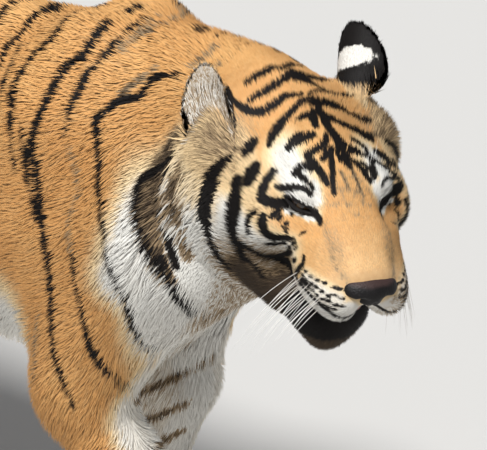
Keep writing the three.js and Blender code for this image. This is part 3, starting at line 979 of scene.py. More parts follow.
# Forehead and crown: x forward and y to the left, from the bridge of the nose back to the ears.
FOREHEAD = [
    Mark(((-142, -76), (-142, -62), (-146, -45), (-155, -24), (-162, -10)), (1.5, 4.2, 4.0)),
    Mark(((-162, -10), (-164, 15), (-174, 38), (-180, 57), (-186, 74)), (4.0, 3.4, 1.6)),
    Mark(((-152, -14), (-150, 2), (-146, 15), (-143, 29)), (3.5, 3.2, 1.0)),
    Mark(((-150, -90), (-138, -85), (-127, -77), (-122, -68)), (2.0, 3.4, 4.0)),
    Mark(
        ((-122, -70), (-121, -62), (-122, -52), (-126, -40), (-126, -29), (-124, -16)),
        (4.0, 4.0, 1.5),
    ),
    Mark(((-122, -7), (-130, 6), (-138, 27), (-142, 42), (-143, 52), (-146, 67)), (1.4, 3.3, 1.4)),
    Mark(((-106, -30), (-110, -20), (-111, -1), (-113, 12)), (2.8, 4.6, 3.2)),
    Mark(((-113, 10), (-114, 20), (-118, 38), (-117, 56), (-117, 71), (-117, 82)), (3.6, 3.0, 1.4)),
    Mark(((-104, -35), (-99, -45), (-90, -60), (-82, -68), (-77, -71)), (3.5, 5.2, 1.2)),
    Mark(((-110, -2), (-102, -3), (-95, 0), (-90, 6)), (4.5, 4.4, 3.0)),
    Mark(((-95, 0), (-92, 18), (-90, 31), (-91, 46), (-95, 60), (-97, 77)), (2.6, 4.0, 1.6)),
    Mark(((-96, -12), (-88, -14), (-81, -14)), (2.8, 4.0, 2.4)),
    Mark(((-90, -37), (-91, -28), (-94, -18)), (1.2, 2.0, 1.4)),
    Mark(((-63, -56), (-68, -48), (-70, -39), (-70, -27), (-71, -20)), (2.2, 4.8, 2.4)),
    Mark(((-98, -3), (-82, 0), (-70, 4), (-60, 10), (-50, 13)), (2.0, 1.5, 1.8)),
    Mark(((-94, 1), (-78, 7), (-66, 15), (-59, 22), (-57, 28)), (1.6, 1.8, 1.2)),
    Mark(((-84, 2), (-72, 9), (-62, 15), (-54, 18)), (0.9, 1.2, 1.0)),
    Mark(((-68, -4), (-62, -7), (-57, -14), (-52, -27), (-50, -34)), (2.2, 3.0, 3.8)),
    Mark(((-50, -34), (-41, -31), (-33, -29), (-24, -26), (-11, -25), (-5, -24)), (4.2, 3.4, 1.2)),
    Mark(((-52, 0), (-47, -8), (-42, -14), (-39, -17)), (1.8, 3.4, 2.2)),
    Mark(((-41, -6), (-28, -9), (-15, -14), (0, -18), (9, -19)), (2.6, 1.5, 0.8)),
    Mark(((-64, 8), (-54, 8), (-44, 5), (-34, 6)), (1.6, 2.6, 1.4)),
    Mark(((-60, 17), (-48, 14), (-36, 11), (-24, 12)), (1.6, 2.8, 2.2)),
    Mark(((-24, 12), (-12, 14), (2, 15), (16, 17)), (1.8, 1.0, 0.5), 1.4, 0.35),
    Mark(((-48, 22), (-51, 32), (-47, 41)), (2.6, 4.6, 2.4)),
    Mark(
        ((-70, 34), (-67, 46), (-63, 52), (-53, 51), (-38, 50), (-20, 45), (-12, 45)),
        (1.6, 3.0, 1.4),
    ),
    Mark(((-39, 17), (-25, 26), (-13, 30), (-5, 33)), (1.8, 3.6, 2.0)),
    Mark(((-32, 28), (-29, 36), (-18, 40), (-7, 40)), (1.4, 3.0, 1.4)),
    Mark(((-16, -2), (-6, -1), (4, 0)), (0.8, 1.0, 0.5), 1.4, 0.4),
    Mark(((-170, -28), (-176, -16), (-184, -4), (-190, 12)), (1.5, 2.6, 1.2), 1.5, 0.3),
    # Painted shade in the groove down each side of the bridge, from the tear line to the nose.
    Mark(((38, -38), (50, -40), (73, -40), (92, -36), (110, -30)), (0.6, 1.6, 1.2), 6.0, 0.76),
    Mark(((38, 38), (50, 40), (73, 40), (92, 36), (110, 30)), (0.6, 1.6, 1.2), 6.0, 0.76),
]

# Round the right eye and above it, and the like round the left one.
BROWS = [
    Mark(((-33, -56), (-38, -47), (-37, -38), (-31, -34)), (3.0, 4.6, 3.4)),
    Mark(((-33, -54), (-24, -50), (-13, -48), (-3, -44)), (3.4, 2.8, 1.2)),
    Mark(((-27, -80), (-19, -69), (-11, -60), (-4, -53), (2, -48)), (1.6, 2.4, 1.2)),
    Mark(((-62, 76), (-56, 80), (-48, 80)), (0.8, 2.4, 1.0)),
    Mark(((-44, 88), (-34, 90), (-22, 88)), (0.4, 1.4, 0.6)),
    Mark(((-27, 80), (-19, 70), (-11, 61), (-4, 53), (2, 48)), (0.4, 1.2, 0.2)),
]

# Temple, cheek and muzzle: x forward and z up, seen from the side.
CHEEK = [
    Mark(((-95, 30), (-92, 24), (-90, 17)), (4.0, 6.2, 4.0)),
    Mark(((-112, 14), (-104, 14), (-97, 18)), (1.5, 3.0, 2.0), 2.0, 0.45),
    Mark(((-66, 14), (-62, 6), (-57, -2)), (5.0, 8.6, 5.0)),
    Mark(((-46, 20), (-42, 13), (-38, 4)), (2.2, 3.8, 2.4)),
    Mark(((-36, 5), (-30, -3), (-21, -5), (-10, -3)), (4.4, 6.4, 3.6)),
    Mark(((-70, -8), (-62, -22), (-54, -36), (-50, -55)), (4.5, 12.0, 9.5)),
    Mark(((-50, -55), (-46, -72), (-38, -86), (-36, -100)), (9.5, 8.4, 6.0)),
    Mark(((-44, -80), (-30, -75), (-12, -76), (4, -86), (12, -102)), (5.0, 4.0, 3.6)),
    Mark(((-32, -98), (-20, -102), (-10, -112)), (1.5, 3.0, 2.0)),
    Mark(((-99, 6), (-103, -12), (-105, -31), (-106, -48)), (2.2, 5.6, 8.2)),
    Mark(((-106, -48), (-105, -66), (-101, -90), (-92, -104)), (8.2, 8.8, 6.4)),
    Mark(((-92, -104), (-84, -116), (-76, -130), (-70, -142)), (6.4, 5.2, 2.4)),
    Mark(((-22, -20), (-25, -34), (-19, -48)), (1.4, 2.6, 1.4)),
    Mark(((-9, -12), (-7, -17)), (2.0, 2.8, 2.0)),
    Mark(((-11, -21), (-4, -33), (5, -40), (14, -38)), (3.6, 5.4, 2.2)),
    Mark(((2, -53), (12, -48)), (1.6, 2.2, 1.4)),
    Mark(((12, -58), (18, -49)), (0.2, 1.2, 0.2)),
    Mark(((12, -46), (18, -36)), (0.0, 0.8, 0.0)),
    Mark(((19, -45), (24, -38)), (0.0, 0.5, 0.0)),
    Mark(((22, -29), (25, -24)), (-0.3, 0.2, -0.3)),
    Mark(((26, -47), (30, -41)), (-0.2, 0.3, -0.2)),
    Mark(((-4, -17), (-2, -20)), (0.5, 1.2, 0.5)),
    Mark(((3, -22), (5, -26)), (0.2, 0.8, 0.2)),
    Mark(((8, -28), (10, -31)), (0.2, 0.6, 0.2)),
    Mark(((-2, -12), (0, -14)), (0.0, 0.4, 0.0)),
    Mark(((2, -73), (13, -63), (22, -55)), (2.2, 2.4, 1.2)),
    Mark(((48, -43), (51, -54), (44, -72)), (1.0, 2.0, 1.8)),
    Mark(((30, -62), (36, -55)), (0.8, 1.2, 0.8)),
    Mark(((60, -68), (68, -66), (75, -68)), (1.8, 3.2, 1.8), 1.6, 0.15),
]

# The right side of the neck, shoulder and foreleg: forward and up.
SHOULDER = [
    Mark(((-60, 962), (-64, 953), (-80, 938), (-78, 925), (-95, 902)), (5.6, 5.0, 4.4)),
    Mark(
        ((-95, 902), (-97, 880), (-96, 864), (-86, 851), (-81, 828), (-75, 807), (-65, 780)),
        (4.4, 3.4, 1.2),
    ),
    Mark(((-6, 972), (-15, 956), (-18, 936), (-20, 920), (-34, 907), (-37, 890)), (5.0, 4.4, 4.0)),
    Mark(((-37, 890), (-40, 857), (-44, 815), (-36, 794), (-26, 756), (-20, 727)), (4.0, 3.6, 3.2)),
    Mark(
        ((-20, 727), (-12, 686), (-6, 641), (-3, 594), (5, 545), (22, 515), (41, 480)),
        (3.2, 2.8, 1.2),
    ),
    Mark(((-62, 832), (-52, 797), (-46, 774), (-38, 747), (-26, 722)), (1.4, 2.4, 2.0)),
    Mark(
        ((14, 958), (10, 940), (6, 924), (-2, 907), (-3, 888), (-5, 868), (-2, 835)),
        (2.0, 3.6, 1.0),
    ),
    Mark(((52, 958), (36, 948), (20, 930)), (1.6, 2.6, 1.0), 2.5, 0.45),
    Mark(((30, 962), (24, 946), (18, 934)), (1.2, 2.0, 0.8), 2.5, 0.45),
    Mark(
        ((118, 924), (96, 916), (82, 908), (76, 890), (53, 882), (40, 869), (32, 857)),
        (2.4, 4.2, 3.4), 2.2, 0.3,
    ),
    Mark(
        ((32, 857), (41, 837), (52, 806), (60, 779), (79, 739), (93, 709)),
        (3.2, 2.4, 2.6), 2.0, 0.3,
    ),
    Mark(((93, 709), (110, 678), (124, 649), (127, 590), (134, 560)), (2.8, 3.2, 2.0)),
    Mark(((80, 924), (62, 903), (50, 887)), (1.6, 3.0, 2.0), 2.4, 0.4),
    Mark(((6, 823), (27, 772), (19, 726), (27, 687)), (0.6, 1.2, 1.4), 2.0, 0.6),
    Mark(
        ((27, 687), (34, 647), (48, 617), (57, 590), (68, 557), (79, 540)),
        (1.4, 2.6, 3.8), 1.2, 0.1,
    ),
    Mark(((79, 540), (96, 511), (105, 498), (112, 470)), (3.6, 3.0, 1.4)),
    Mark(((172, 852), (146, 825), (120, 803), (122, 777)), (2.6, 4.2, 4.2), 2.0, 0.15),
    Mark(
        ((122, 777), (134, 756), (155, 729), (176, 705), (190, 677), (200, 640)),
        (4.2, 5.2, 2.8), 1.6,
    ),
    Mark(
        ((168, 840), (158, 817), (158, 795), (166, 776), (179, 752), (194, 716)),
        (2.2, 3.6, 3.0), 2.0, 0.1,
    ),
    Mark(
        ((160, 862), (142, 812), (143, 780), (158, 750), (184, 700)),
        (12.0, 19.0, 9.0), 9.0, 0.38,
    ),
    Mark(((196, 850), (184, 806), (188, 776), (204, 732)), (5.0, 11.0, 6.0), 7.0, 0.5),
    Mark(((-28, 585), (-33, 540), (-30, 485)), (0.8, 1.4, 0.8), 1.6, 0.4),
    Mark(((150, 958), (142, 946), (128, 936)), (2.0, 4.0, 1.6), 3.0, 0.45),
    Mark(((196, 968), (186, 955), (170, 944)), (2.4, 4.6, 2.0), 3.0, 0.4),
    Mark(((240, 985), (226, 970), (206, 952)), (3.0, 5.2, 2.6), 2.6, 0.25),
    Mark(((268, 972), (252, 958), (232, 942)), (2.4, 4.4, 2.2), 2.2, 0.15),
    Mark(((290, 965), (276, 952), (262, 940)), (2.0, 3.4, 1.6), 2.2, 0.15),
    Mark(
        ((-110, 950), (-150, 925), (-152, 905), (-157, 890), (-150, 872)),
        (3.0, 4.6, 2.4), 2.2, 0.2,
    ),
    Mark(((-138, 897), (-126, 880), (-118, 860), (-112, 838)), (1.8, 3.2, 1.2), 2.0, 0.3),
]


# Where the face is paler, or less pale with a gain below 0: gain, centre and reach, on both sides.
PALE_SPOTS = (
    (1.2, (-30, 58, 28), (40, 27, 44)),
    (1.7, (120, 30, -79), (17, 17, 17)),
    (-0.85, (-6, 68, -27), (21, 18, 10)),
    (1.1, (-4, 39, 16), (24, 7.5, 22)),
    (1.1, (17, 44, -2), (11, 7, 11)),
    (-0.9, (-8, 72, -24), (26, 22, 16)),
    (1.3, (26, 58, -96), (26, 26, 26)),
)


# ---------------------------------------------------------------------------------- meshes
BOX_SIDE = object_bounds()[1][0] / MM


def centre_shift() -> Array:
    """Returns the move from the tiger's own frame to the shared one, from the eyes' places.

    Returns:
        The move, in millimetres.
    """
    boxes = [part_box("eye_" + side) for side in SIDES]
    found = np.mean([np.array((low + high) / 2) / MM for low, high in boxes], axis=0)
    own = np.mean([base[:3, 3] for base in EYE_FRAMES.values()], axis=0)
    return found - own


SHIFT = centre_shift()


def object_from(name: str, mesh: Mesh) -> Object:
    """Returns a new object in the scene that shows a mesh.

    Args:
        name: its name.
        mesh: the mesh that it shows.

    Returns:
        The object.
    """
    made = bpy.data.objects.new(name, mesh)
    bpy.context.scene.collection.objects.link(made)
    return made


def mesh_from(name: str, bm: BMesh) -> Mesh:
    """Returns a new mesh made of a bmesh, which it frees.

    Args:
        name: the mesh's name.
        bm: the bmesh.

    Returns:
        The mesh.
    """
    mesh = bpy.data.meshes.new(name)
    bm.to_mesh(mesh)
    bm.free()
    return mesh


@contextmanager
def edited(mesh: Mesh) -> Iterator[BMesh]:
    """Lends a mesh as a bmesh, and writes it back at the end.

    Args:
        mesh: the mesh to change.

    Returns:
        The bmesh, for use in a with statement.
    """
    bm = bmesh.new()
    bm.from_mesh(mesh)
    yield bm
    bm.to_mesh(mesh)
    bm.free()


def smooth_object(mesh: Mesh) -> Object:
    """Returns a new object that shows a mesh smoothly, under the mesh's name."""
    mesh.shade_smooth()
    return object_from(mesh.name, mesh)


def read_points(mesh: Mesh) -> Array:
    """Returns a mesh's vertices as rows, in the mesh's own units.

    Args:
        mesh: the mesh.

    Returns:
        The vertices' places.
    """
    co = np.empty(len(mesh.vertices) * 3, np.float32)
    mesh.vertices.foreach_get("co", co)
    return co.reshape(-1, 3).astype(float)


def write_points(mesh: Mesh, points: Array) -> None:
    """Puts a mesh's vertices at these rows."""
    mesh.vertices.foreach_set("co", points.astype(np.float32).ravel())
    mesh.update()


def to_frame(points: Array) -> Array:
    """Returns points of the tiger's own frame in metres in the shared frame."""
    return (points + SHIFT) * MM


def from_frame(points: Array) -> Array:
    """Returns points of the shared frame in millimetres in the tiger's own frame."""
    return points / MM - SHIFT


@dataclass(frozen=True)
class Lens:
    """A smooth stretch of space round the head, so that one even remesh comes out finest there."""

    centre: tuple = (-40.0, 0.0, -45.0)
    gain: float = 3.6
    inner: float = 175.0
    outer: float = 330.0
    steps: int = 900
    span: float = 3600.0

    def radii(self) -> tuple:
        """Returns the table of radius and stretched radius.

        Returns:
            Two rows of numbers: plain radii, and the same radii stretched.
        """
        plain = np.linspace(0.0, self.span, self.steps)
        rate = 1.0 + (self.gain - 1.0) * ramp(self.outer, self.inner, plain)
        wide = np.concatenate([[0.0], np.cumsum((rate[1:] + rate[:-1]) / 2 * np.diff(plain))])
        return plain, wide

    def bend(self, points: Array, back: bool = False) -> Array:
        """Returns points stretched away from the head, or brought back.

        Args:
            points: the places, as rows in the tiger's own frame.
            back: whether they are brought back.

        Returns:
            The moved points.
        """
        plain, wide = self.radii()
        middle = placed(HEAD, np.array(self.centre))
        offset = points - middle
        r = np.maximum(length_of(offset), 1e-6)
        new = np.interp(r, wide, plain) if back else np.interp(r, plain, wide)
        return middle + offset * (new / r)[:, None]


@dataclass
class Skin:
    """One skin over the whole animal: the flesh made one, then drawn onto the skin's form.

    `grown` is how far each piece of flesh grows so that the cuts close. `strides` are the longest
    moves of a vertex in the first passes and in the later ones, and `flattest` is the least slope
    of the form that a move reckons with.
    """

    cell: float = 13.8
    grown: float = 0.6
    eye_rings: int = 16
    eye_reach: float = 27.0
    passes: int = 5
    wide_passes: int = 2
    strides: tuple = (30.0, 6.0)
    flattest: float = 0.3
    evening: float = 0.5

    def __post_init__(self) -> None:
        """Makes the skin's mesh."""
        self.mesh = self.remeshed(self.joined())
        self.refine()
        self.settle()
        self.object = object_from("skin", self.mesh)

    def surface(self) -> BVHTree:
        """Returns the skin as a surface that lines can be cast onto, in the tiger's own frame.

        Returns:
            The surface.
        """
        self.mesh.calc_loop_triangles()
        points = from_frame(read_points(self.mesh))
        triangles = [tuple(t.vertices) for t in self.mesh.loop_triangles]
        return BVHTree.FromPolygons(points.tolist(), triangles)

    def joined(self) -> Mesh:
        """Returns copies of the flesh nodes as one mesh, each grown so that the cuts close.

        Returns:
            The mesh, in metres in the shared frame.
        """
        meshes = []
        for name in (*FLESH, "nose_leather"):
            part = bmesh.new()
            part.from_mesh(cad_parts[name].data)
            bmesh.ops.remove_doubles(part, verts=part.verts, dist=1e-6)
            part.normal_update()
            for vertex in part.verts:
                vertex.co += vertex.normal * self.grown * MM
            meshes.append(mesh_from("part", part))
        for base in EYE_FRAMES.values():
            size = EYE.radius + EYE.lid
            mesh = mesh_from("part", ball(base, (0, 0, 0), (size, size, size), self.eye_rings))
            write_points(mesh, to_frame(read_points(mesh)))
            meshes.append(mesh)
        bm = bmesh.new()
        for mesh in meshes:
            bm.from_mesh(mesh)
            bpy.data.meshes.remove(mesh)
        return mesh_from("flesh", bm)

    def remeshed(self, mesh: Mesh) -> Mesh:
        """Returns an even mesh of the whole, finest round the head.

        Args:
            mesh: the joined flesh, which is used up.

        Returns:
            The new mesh, in the tiger's own frame.
        """
        lens = Lens()
        write_points(mesh, lens.bend(from_frame(read_points(mesh))))
        working = object_from("working", mesh)
        modifier = working.modifiers.new("one_skin", "REMESH")
        modifier.mode = "VOXEL"
        modifier.voxel_size = self.cell
        bpy.context.view_layer.update()
        shown = working.evaluated_get(bpy.context.evaluated_depsgraph_get())
        made = bpy.data.meshes.new_from_object(shown)
        bpy.data.objects.remove(working)
        with edited(made) as bm:
            self.keep_largest(bm)
        write_points(made, lens.bend(read_points(made), back=True))
        return made

    @staticmethod
    def keep_largest(bm: BMesh) -> None:
        """Deletes every shell but the largest.

        Args:
            bm: the bmesh to clean.
        """
        left = set(bm.verts)
        shells = []
        while left:
            start = left.pop()
            shell, todo = {start}, [start]
            while todo:
                for edge in todo.pop().link_edges:
                    for vertex in edge.verts:
                        if vertex in left:
                            left.discard(vertex)
                            shell.add(vertex)
                            todo.append(vertex)
            shells.append(shell)
        biggest = max(shells, key=len)
        loose = [v for shell in shells if shell is not biggest for v in shell]
        bmesh.ops.delete(bm, geom=loose, context="VERTS")

    def refine(self) -> None:
        """Cuts the skin round the eyes into smaller faces, twice."""
        centres = [base[:3, 3] + base[:3, 0] * EYE.radius for base in EYE_FRAMES.values()]
        for reach in (self.eye_reach + 9, self.eye_reach):
            with edited(self.mesh) as bm:
                near = [
                    face
                    for face in bm.faces
                    if min((face.calc_center_median() - Vector(c)).length for c in centres) < reach
                ]
                edges = {edge for face in near for edge in face.edges}
                bmesh.ops.subdivide_edges(bm, edges=list(edges), cuts=1, use_grid_fill=True)

    def settle(self) -> None:
        """Draws the vertices onto the skin's form and evens them out along it."""
        points = read_points(self.mesh)
        edges = np.empty(len(self.mesh.edges) * 2, np.int32)
        self.mesh.edges.foreach_get("vertices", edges)
        edges = edges.reshape(-1, 2)
        counts = np.bincount(edges.ravel(), minlength=len(points))
        for turn in range(self.passes):
            value, gradient = slope(BODY.skin, points)
            steep = np.maximum(dot(gradient, gradient), self.flattest)
            limit = self.strides[0 if turn < self.wide_passes else 1]
            points -= gradient * (np.clip(value, -limit, limit) / steep)[:, None]
            if turn < self.passes - 2:
                total = np.zeros_like(points)
                for k in range(3):
                    total[:, k] = np.bincount(edges[:, 0], points[edges[:, 1], k], len(points))
                    total[:, k] += np.bincount(edges[:, 1], points[edges[:, 0], k], len(points))
                drift = total / counts[:, None] - points
                normal = unit(gradient)
                drift -= normal * dot(drift, normal)[:, None]
                points += self.evening * drift
        self.open_lids(points)
        write_points(self.mesh, to_frame(points))
        self.mesh.shade_smooth()

    @staticmethod
    def open_lids(points: Array) -> None:
        """Parts the lids over each eye, with a thick edge and a fold above and below it.

        Args:
            points: the skin's vertices, which are moved.
        """
        for side, sign in SIDES.items():
            e = placed(TO_EYES[side], points)
            reach = length_of(e)
            outer = EYE.radius + 14
            near = ((e[:, 0] > 0) & (reach < outer)).nonzero()[0]
            gap = EYE.slit(e[near], sign)
            on_lid = ramp(outer, EYE.radius + 7, reach[near])
            push = -(EYE.lid + EYE.pocket) * ramp(0.7, -0.9, gap)
            push += 0.9 * np.exp(-(((gap - 1.6) / 1.0) ** 2))
            push -= 1.3 * np.exp(-(((gap - 6.5) / 1.5) ** 2)) * on_lid
            points[near] += unit(points[near] - EYE_FRAMES[side][:3, 3]) * push[:, None]


@dataclass(frozen=True)
class Drawn:
    """A mark as drawn on the skin: points of its line, half widths there, and how it fades."""

    points: Array
    widths: Array
    soft: float
    fade: float


def smooth_line(points: Array, step: float) -> Array:
    """Returns points about a step apart along a smooth curve through the given ones.

    Args:
        points: the given points, as rows.
        step: how far apart the new ones are.

    Returns:
        The new points.
    """
    if len(points) == 2:
        count = max(2, int(np.linalg.norm(points[1] - points[0]) / step) + 1)
        t = np.linspace(0, 1, count)[:, None]
        return points[0] * (1 - t) + points[1] * t
    knots = np.vstack([2 * points[0] - points[1], points, 2 * points[-1] - points[-2]])
    made = [points[:1]]
    for i in range(1, len(knots) - 2):
        before, here, ahead, after = knots[i - 1 : i + 3]
        count = max(2, int(np.linalg.norm(ahead - here) / step) + 1)
        t = (np.arange(1, count + 1) / count)[:, None]
        leave, arrive = (ahead - before) / 2, (after - here) / 2
        made.append(hermite(here, leave, ahead, arrive, t))
    return np.vstack(made)


def ripple(points: Array, size: float, seed: int, waves: int = 7) -> Array:
    """Returns a smooth wandering value, mostly between -1 and 1, that changes over about a size.

    Args:
        points: the places, as rows in the tiger's own frame.
        size: how far apart its waves are.
        seed: what makes it one of its kind.
        waves: how many waves are added up.

    Returns:
        The value at each point.
    """
    rng = np.random.default_rng(seed)
    total = np.zeros(len(points))
    for _ in range(waves):
        way = rng.normal(size=3)
        way *= rng.uniform(0.6, 1.5) / np.linalg.norm(way)
        total += np.sin(points @ way * (2 * math.pi / size / 1.6) + rng.uniform(0, 2 * math.pi))
    return total / math.sqrt(waves) / 1.25


@dataclass
class Pattern:
    """The stripes, pale parts and painted shade of the coat, as functions of a point on the skin.

    `surface` is the skin in the tiger's own frame. A mark's points lie `step` apart, and a gap of
    up to `jump` between them, or `back_jump` over the back, is filled. Lines onto the skin start
    `above` or `beside` the head, `out` from a flank, or `ridge` from the middle and `sky` high.
    A mark is felt as far as `felt`, and is shade rather than black from a fade of `faint`.
    """

    surface: BVHTree
    step: float = 3.0
    jump: float = 26.0
    back_jump: float = 130.0
    above: float = 82.0
    beside: float = 220.0
    out: float = 420.0
    between: float = 2.0
    ridge: float = 6.0
    sky: float = 1200.0
    over_back: float = 14.0
    felt: float = 32.0
    run: int = 12
    faint: float = 0.32
    drawn: list = field(default_factory=list)
    SPREAD: ClassVar[dict] = {
        Look.HEAD_TOP: 1.1,
        Look.HEAD_SIDE: 1.1,
        Look.FLANK: 0.7,
        Look.INNER: 1.0,
    }

    def __post_init__(self) -> None:
        """Draws every mark onto the skin's surface."""
        for mark in FOREHEAD + BROWS:
            self.draw(mark, Look.HEAD_TOP, 1.0)
        for side, sign in SIDES.items():
            for look, marks in (
                (Look.HEAD_SIDE, CHEEK + self.pad_marks(sign)),
                (Look.FLANK, SHOULDER + self.flank_marks(sign) + self.haunch_marks(sign)),
                (Look.INNER, self.inner_marks("fore_" + side) + self.inner_marks("hind_" + side)),
            ):
                for mark in marks:
                    self.draw(mark, look, sign)

    def cast(self, origin: Array, way: Array) -> Optional[Array]:
        """Returns where a line from a point first meets the skin, or None."""
        hit = self.surface.ray_cast(Vector(origin), Vector(way))[0]
        return None if hit is None else np.array(hit)

    def land(self, spot: Array, look: Look, sign: float) -> Optional[Array]:
        """Returns the place on the skin of a mark's point.

        Args:
            spot: the point's two numbers.
            look: how they are read.
            sign: 1 for the left side.

        Returns:
            The place, or None where there is no skin.
        """
        if look is Look.HEAD_TOP:
            start = placed(HEAD, np.array((spot[0], spot[1], self.above)))
            return self.cast(start, HEAD[:3, :3] @ (0, 0, -1.0))
        if look is Look.HEAD_SIDE:
            start = placed(HEAD, np.array((spot[0], sign * self.beside, spot[1])))
            return self.cast(start, HEAD[:3, :3] @ (0, -sign, 0.0))
        if look is Look.INNER:
            start = at(spot[0], sign * self.between, spot[1])
            return self.cast(start, np.array((sign, 0.0, 0.0)))
        hit = self.cast(at(spot[0], sign * self.out, spot[1]), np.array((-sign, 0.0, 0.0)))
        if hit is None or hit[0] * sign < self.ridge:
            hit = self.cast(at(spot[0], sign * self.ridge, self.sky), np.array((0.0, 0.0, -1.0)))
            if hit is not None and spot[1] > hit[2] + self.over_back:
                return None
        return hit

    def draw(self, mark: Mark, look: Look, sign: float) -> None:
        """Lays a mark's line on the skin and keeps it.

        Args:
            mark: the mark.
            look: how its points are read.
            sign: 1 for the left side, -1 for the right.
        """
        line = smooth_line(np.array(mark.points, float), self.step)
        found = [self.land(spot, look, sign) for spot in line]
        share = np.linspace(0, 1, len(line))
        kept = [i for i, hit in enumerate(found) if hit is not None]
        if not kept:
            return
        points = np.array([found[i] for i in kept])
        widths = np.interp(share[kept], (0, 0.5, 1), mark.widths) + self.SPREAD[look]
        points, widths = self.filled(points, widths)
        widths = widths * (1 + 0.16 * ripple(points, 26.0, 5))
        self.drawn.append(Drawn(points, widths, mark.soft, mark.fade))

    def filled(self, points: Array, widths: Array) -> tuple:
        """Returns a landed line with more points wherever the skin's slope has spread them.

        Args:
            points: the landed points.
            widths: the half width at each.

        Returns:
            The points and widths, with the new ones among them.
        """
        gaps = length_of(np.diff(points, axis=0))
        on_back = (points[1:, 2] > 850) & (points[1:, 1] > 300)
        reach = np.where(on_back, self.back_jump, self.jump)
        parts = np.where(gaps < reach, np.ceil(gaps / self.step), 1).astype(int)
        places = [i + k / n for i, n in enumerate(parts) for k in range(n)] + [len(points) - 1]
        index = np.arange(len(points))
        made = np.stack([np.interp(places, index, points[:, k]) for k in range(3)], axis=1)
        return made, np.interp(places, index, widths)

    @staticmethod
    def pad_marks(sign: float) -> list:
        """Returns the rows of small spots on a whisker pad.

        Args:
            sign: 1 for the left side, -1 for the right.

        Returns:
            The marks.
        """
        rng = np.random.default_rng(30 + int(sign))
        marks = []
        for row, height in enumerate((-55.0, -63.0, -70.0, -77.0)):
            for place in (62, 72, 82, 91, 100, 107, 113, 118):
                x = place - 4.0 * (row % 2) + rng.uniform(-1.5, 1.5)
                z = height + rng.uniform(-1.4, 1.4) + 0.05 * (place - 60)
                size = rng.uniform(-0.5, 0.5)
                marks.append(Mark(((x - 1.3, z - 0.6), (x + 1.3, z + 0.5)), (0.0, size, 0.0)))
        return marks

    def flank_marks(self, sign: float) -> list:
        """Returns the stripes from behind the shoulder to the hips, of one or two strands each.

        Args:
            sign: 1 for the left side, -1 for the right.

        Returns:
            The marks.
        """
        rng = np.random.default_rng(39)
        own = np.random.default_rng(40 + int(sign))
        marks = []
        forward = -205.0
        while forward > -940.0:
            lean = rng.uniform(-22, 16)
            bottom = rng.uniform(600, 720) + 130 * float(ramp(-640, -760, forward))
            bottom += (890 - bottom) * float(ramp(-780, -860, forward))
            wide = rng.uniform(4.6, 7.4)
            ways = (975, 905, 835, 0.5 * (835 + bottom), bottom)
            line = [(forward + lean * i / 2 + rng.uniform(-9, 9), up) for i, up in enumerate(ways)]
            line = [(f + own.uniform(-7, 7) * i / 2, up) for i, (f, up) in enumerate(line)]
            marks.append(Mark(tuple(line), (wide, wide * 0.8, 0.2)))
            kind = rng.random()
            gap = rng.uniform(14, 24)
            if kind < 0.45:
                bow = [gap * math.sin(math.pi * (i + 0.3) / 4.6) for i in range(len(line))]
                twin = [(f - off, up - 14) for off, (f, up) in zip(bow, line)]
                marks.append(Mark(tuple(twin), (1.2, wide * 0.75, 0.2)))
            elif kind < 0.8:
                part = [(f - gap, up - 30) for f, up in line[1:4]]
                marks.append(Mark(tuple(part), (0.4, wide * 0.9, 0.2)))
            base = forward - rng.uniform(22, 38)
            low, high = rng.uniform(462, 520), rng.uniform(640, 760) + own.uniform(0, 30)
            middle = (low + high) / 2
            rise = [(-4, low), (-9, middle - 30), (-2, middle + 40), (10, high)]
            rise = tuple((base + f, up) for f, up in rise)
            if base > -740:
                marks.append(Mark(rise, (2.8, rng.uniform(4.2, 6.4), 0.2)))
            if rng.random() < 0.4 and base > -740:
                side = rng.uniform(16, 24)
                fork = ((base - side, low + 20), (base - side + 2, middle), (base - 3, middle + 60))
                marks.append(Mark(fork, (1.4, 3.2, 1.0)))
            forward -= rng.uniform(42, 64)
        return marks

    def haunch_marks(self, sign: float) -> list:
        """Returns the bars that lie across the hip, the thigh, the shank and the hind foot.

        Args:
            sign: 1 for the left side, -1 for the right.

        Returns:
            The marks.
        """
        rng = np.random.default_rng(60 + int(sign))
        stance = STANCE["hind_left" if sign > 0 else "hind_right"]
        marks = []
        for i, up in enumerate(np.arange(884, 130, -37.0)):
            share = (880 - up) / 630
            middle, half = self.hind_reach(stance, up)
            tilt = (rng.uniform(20, 44) + 60 * max(0.0, 0.35 - share)) * min(1.0, half / 90)
            front = middle + half * rng.uniform(0.0, 0.85)
            line = [
                (middle - half, up + rng.uniform(-5, 5)),
                (middle - half * 0.45, up - tilt * 0.55 + rng.uniform(-4, 4)),
                (0.5 * (middle - half * 0.2 + front), up - tilt * 0.8),
                (front, up - tilt * rng.uniform(0.4, 1.1)),
            ]
            wide = rng.uniform(4.0, 6.2) * (0.55 + 0.45 * min(1.0, half / 80))
            marks.append(Mark(tuple(line), (wide, wide * 1.05, 0.2)))
            if i % 3 == 1 and share < 0.6:
                back = [(f + 6, u - 17) for f, u in line[:3]]
                marks.append(Mark(tuple(back), (2.6, 2.8, 0.2)))
        return marks

    @staticmethod
    def hind_reach(stance: Stance, up: float) -> tuple:
        """Returns the middle and half length, fore and aft, of a hind leg at a height.

        Args:
            stance: where the paw stands.
            up: the height.

        Returns:
            The middle's place forward of the withers, and the half length.
        """
        swing = stance.forward + 930
        heights = (60, 262, 400, 545, 700, 880)
        middles = (
            stance.forward - 42,
            stance.forward - 108,
            0.5 * (stance.forward - 118 - 752 + 0.25 * swing) + 6,
            -812 + 0.25 * swing,
            -905 + 0.15 * swing,
            -965,
        )
        halves = (34, 42, 62, 98, 116, 84)
        return float(np.interp(up, heights, middles)), float(np.interp(up, heights, halves))

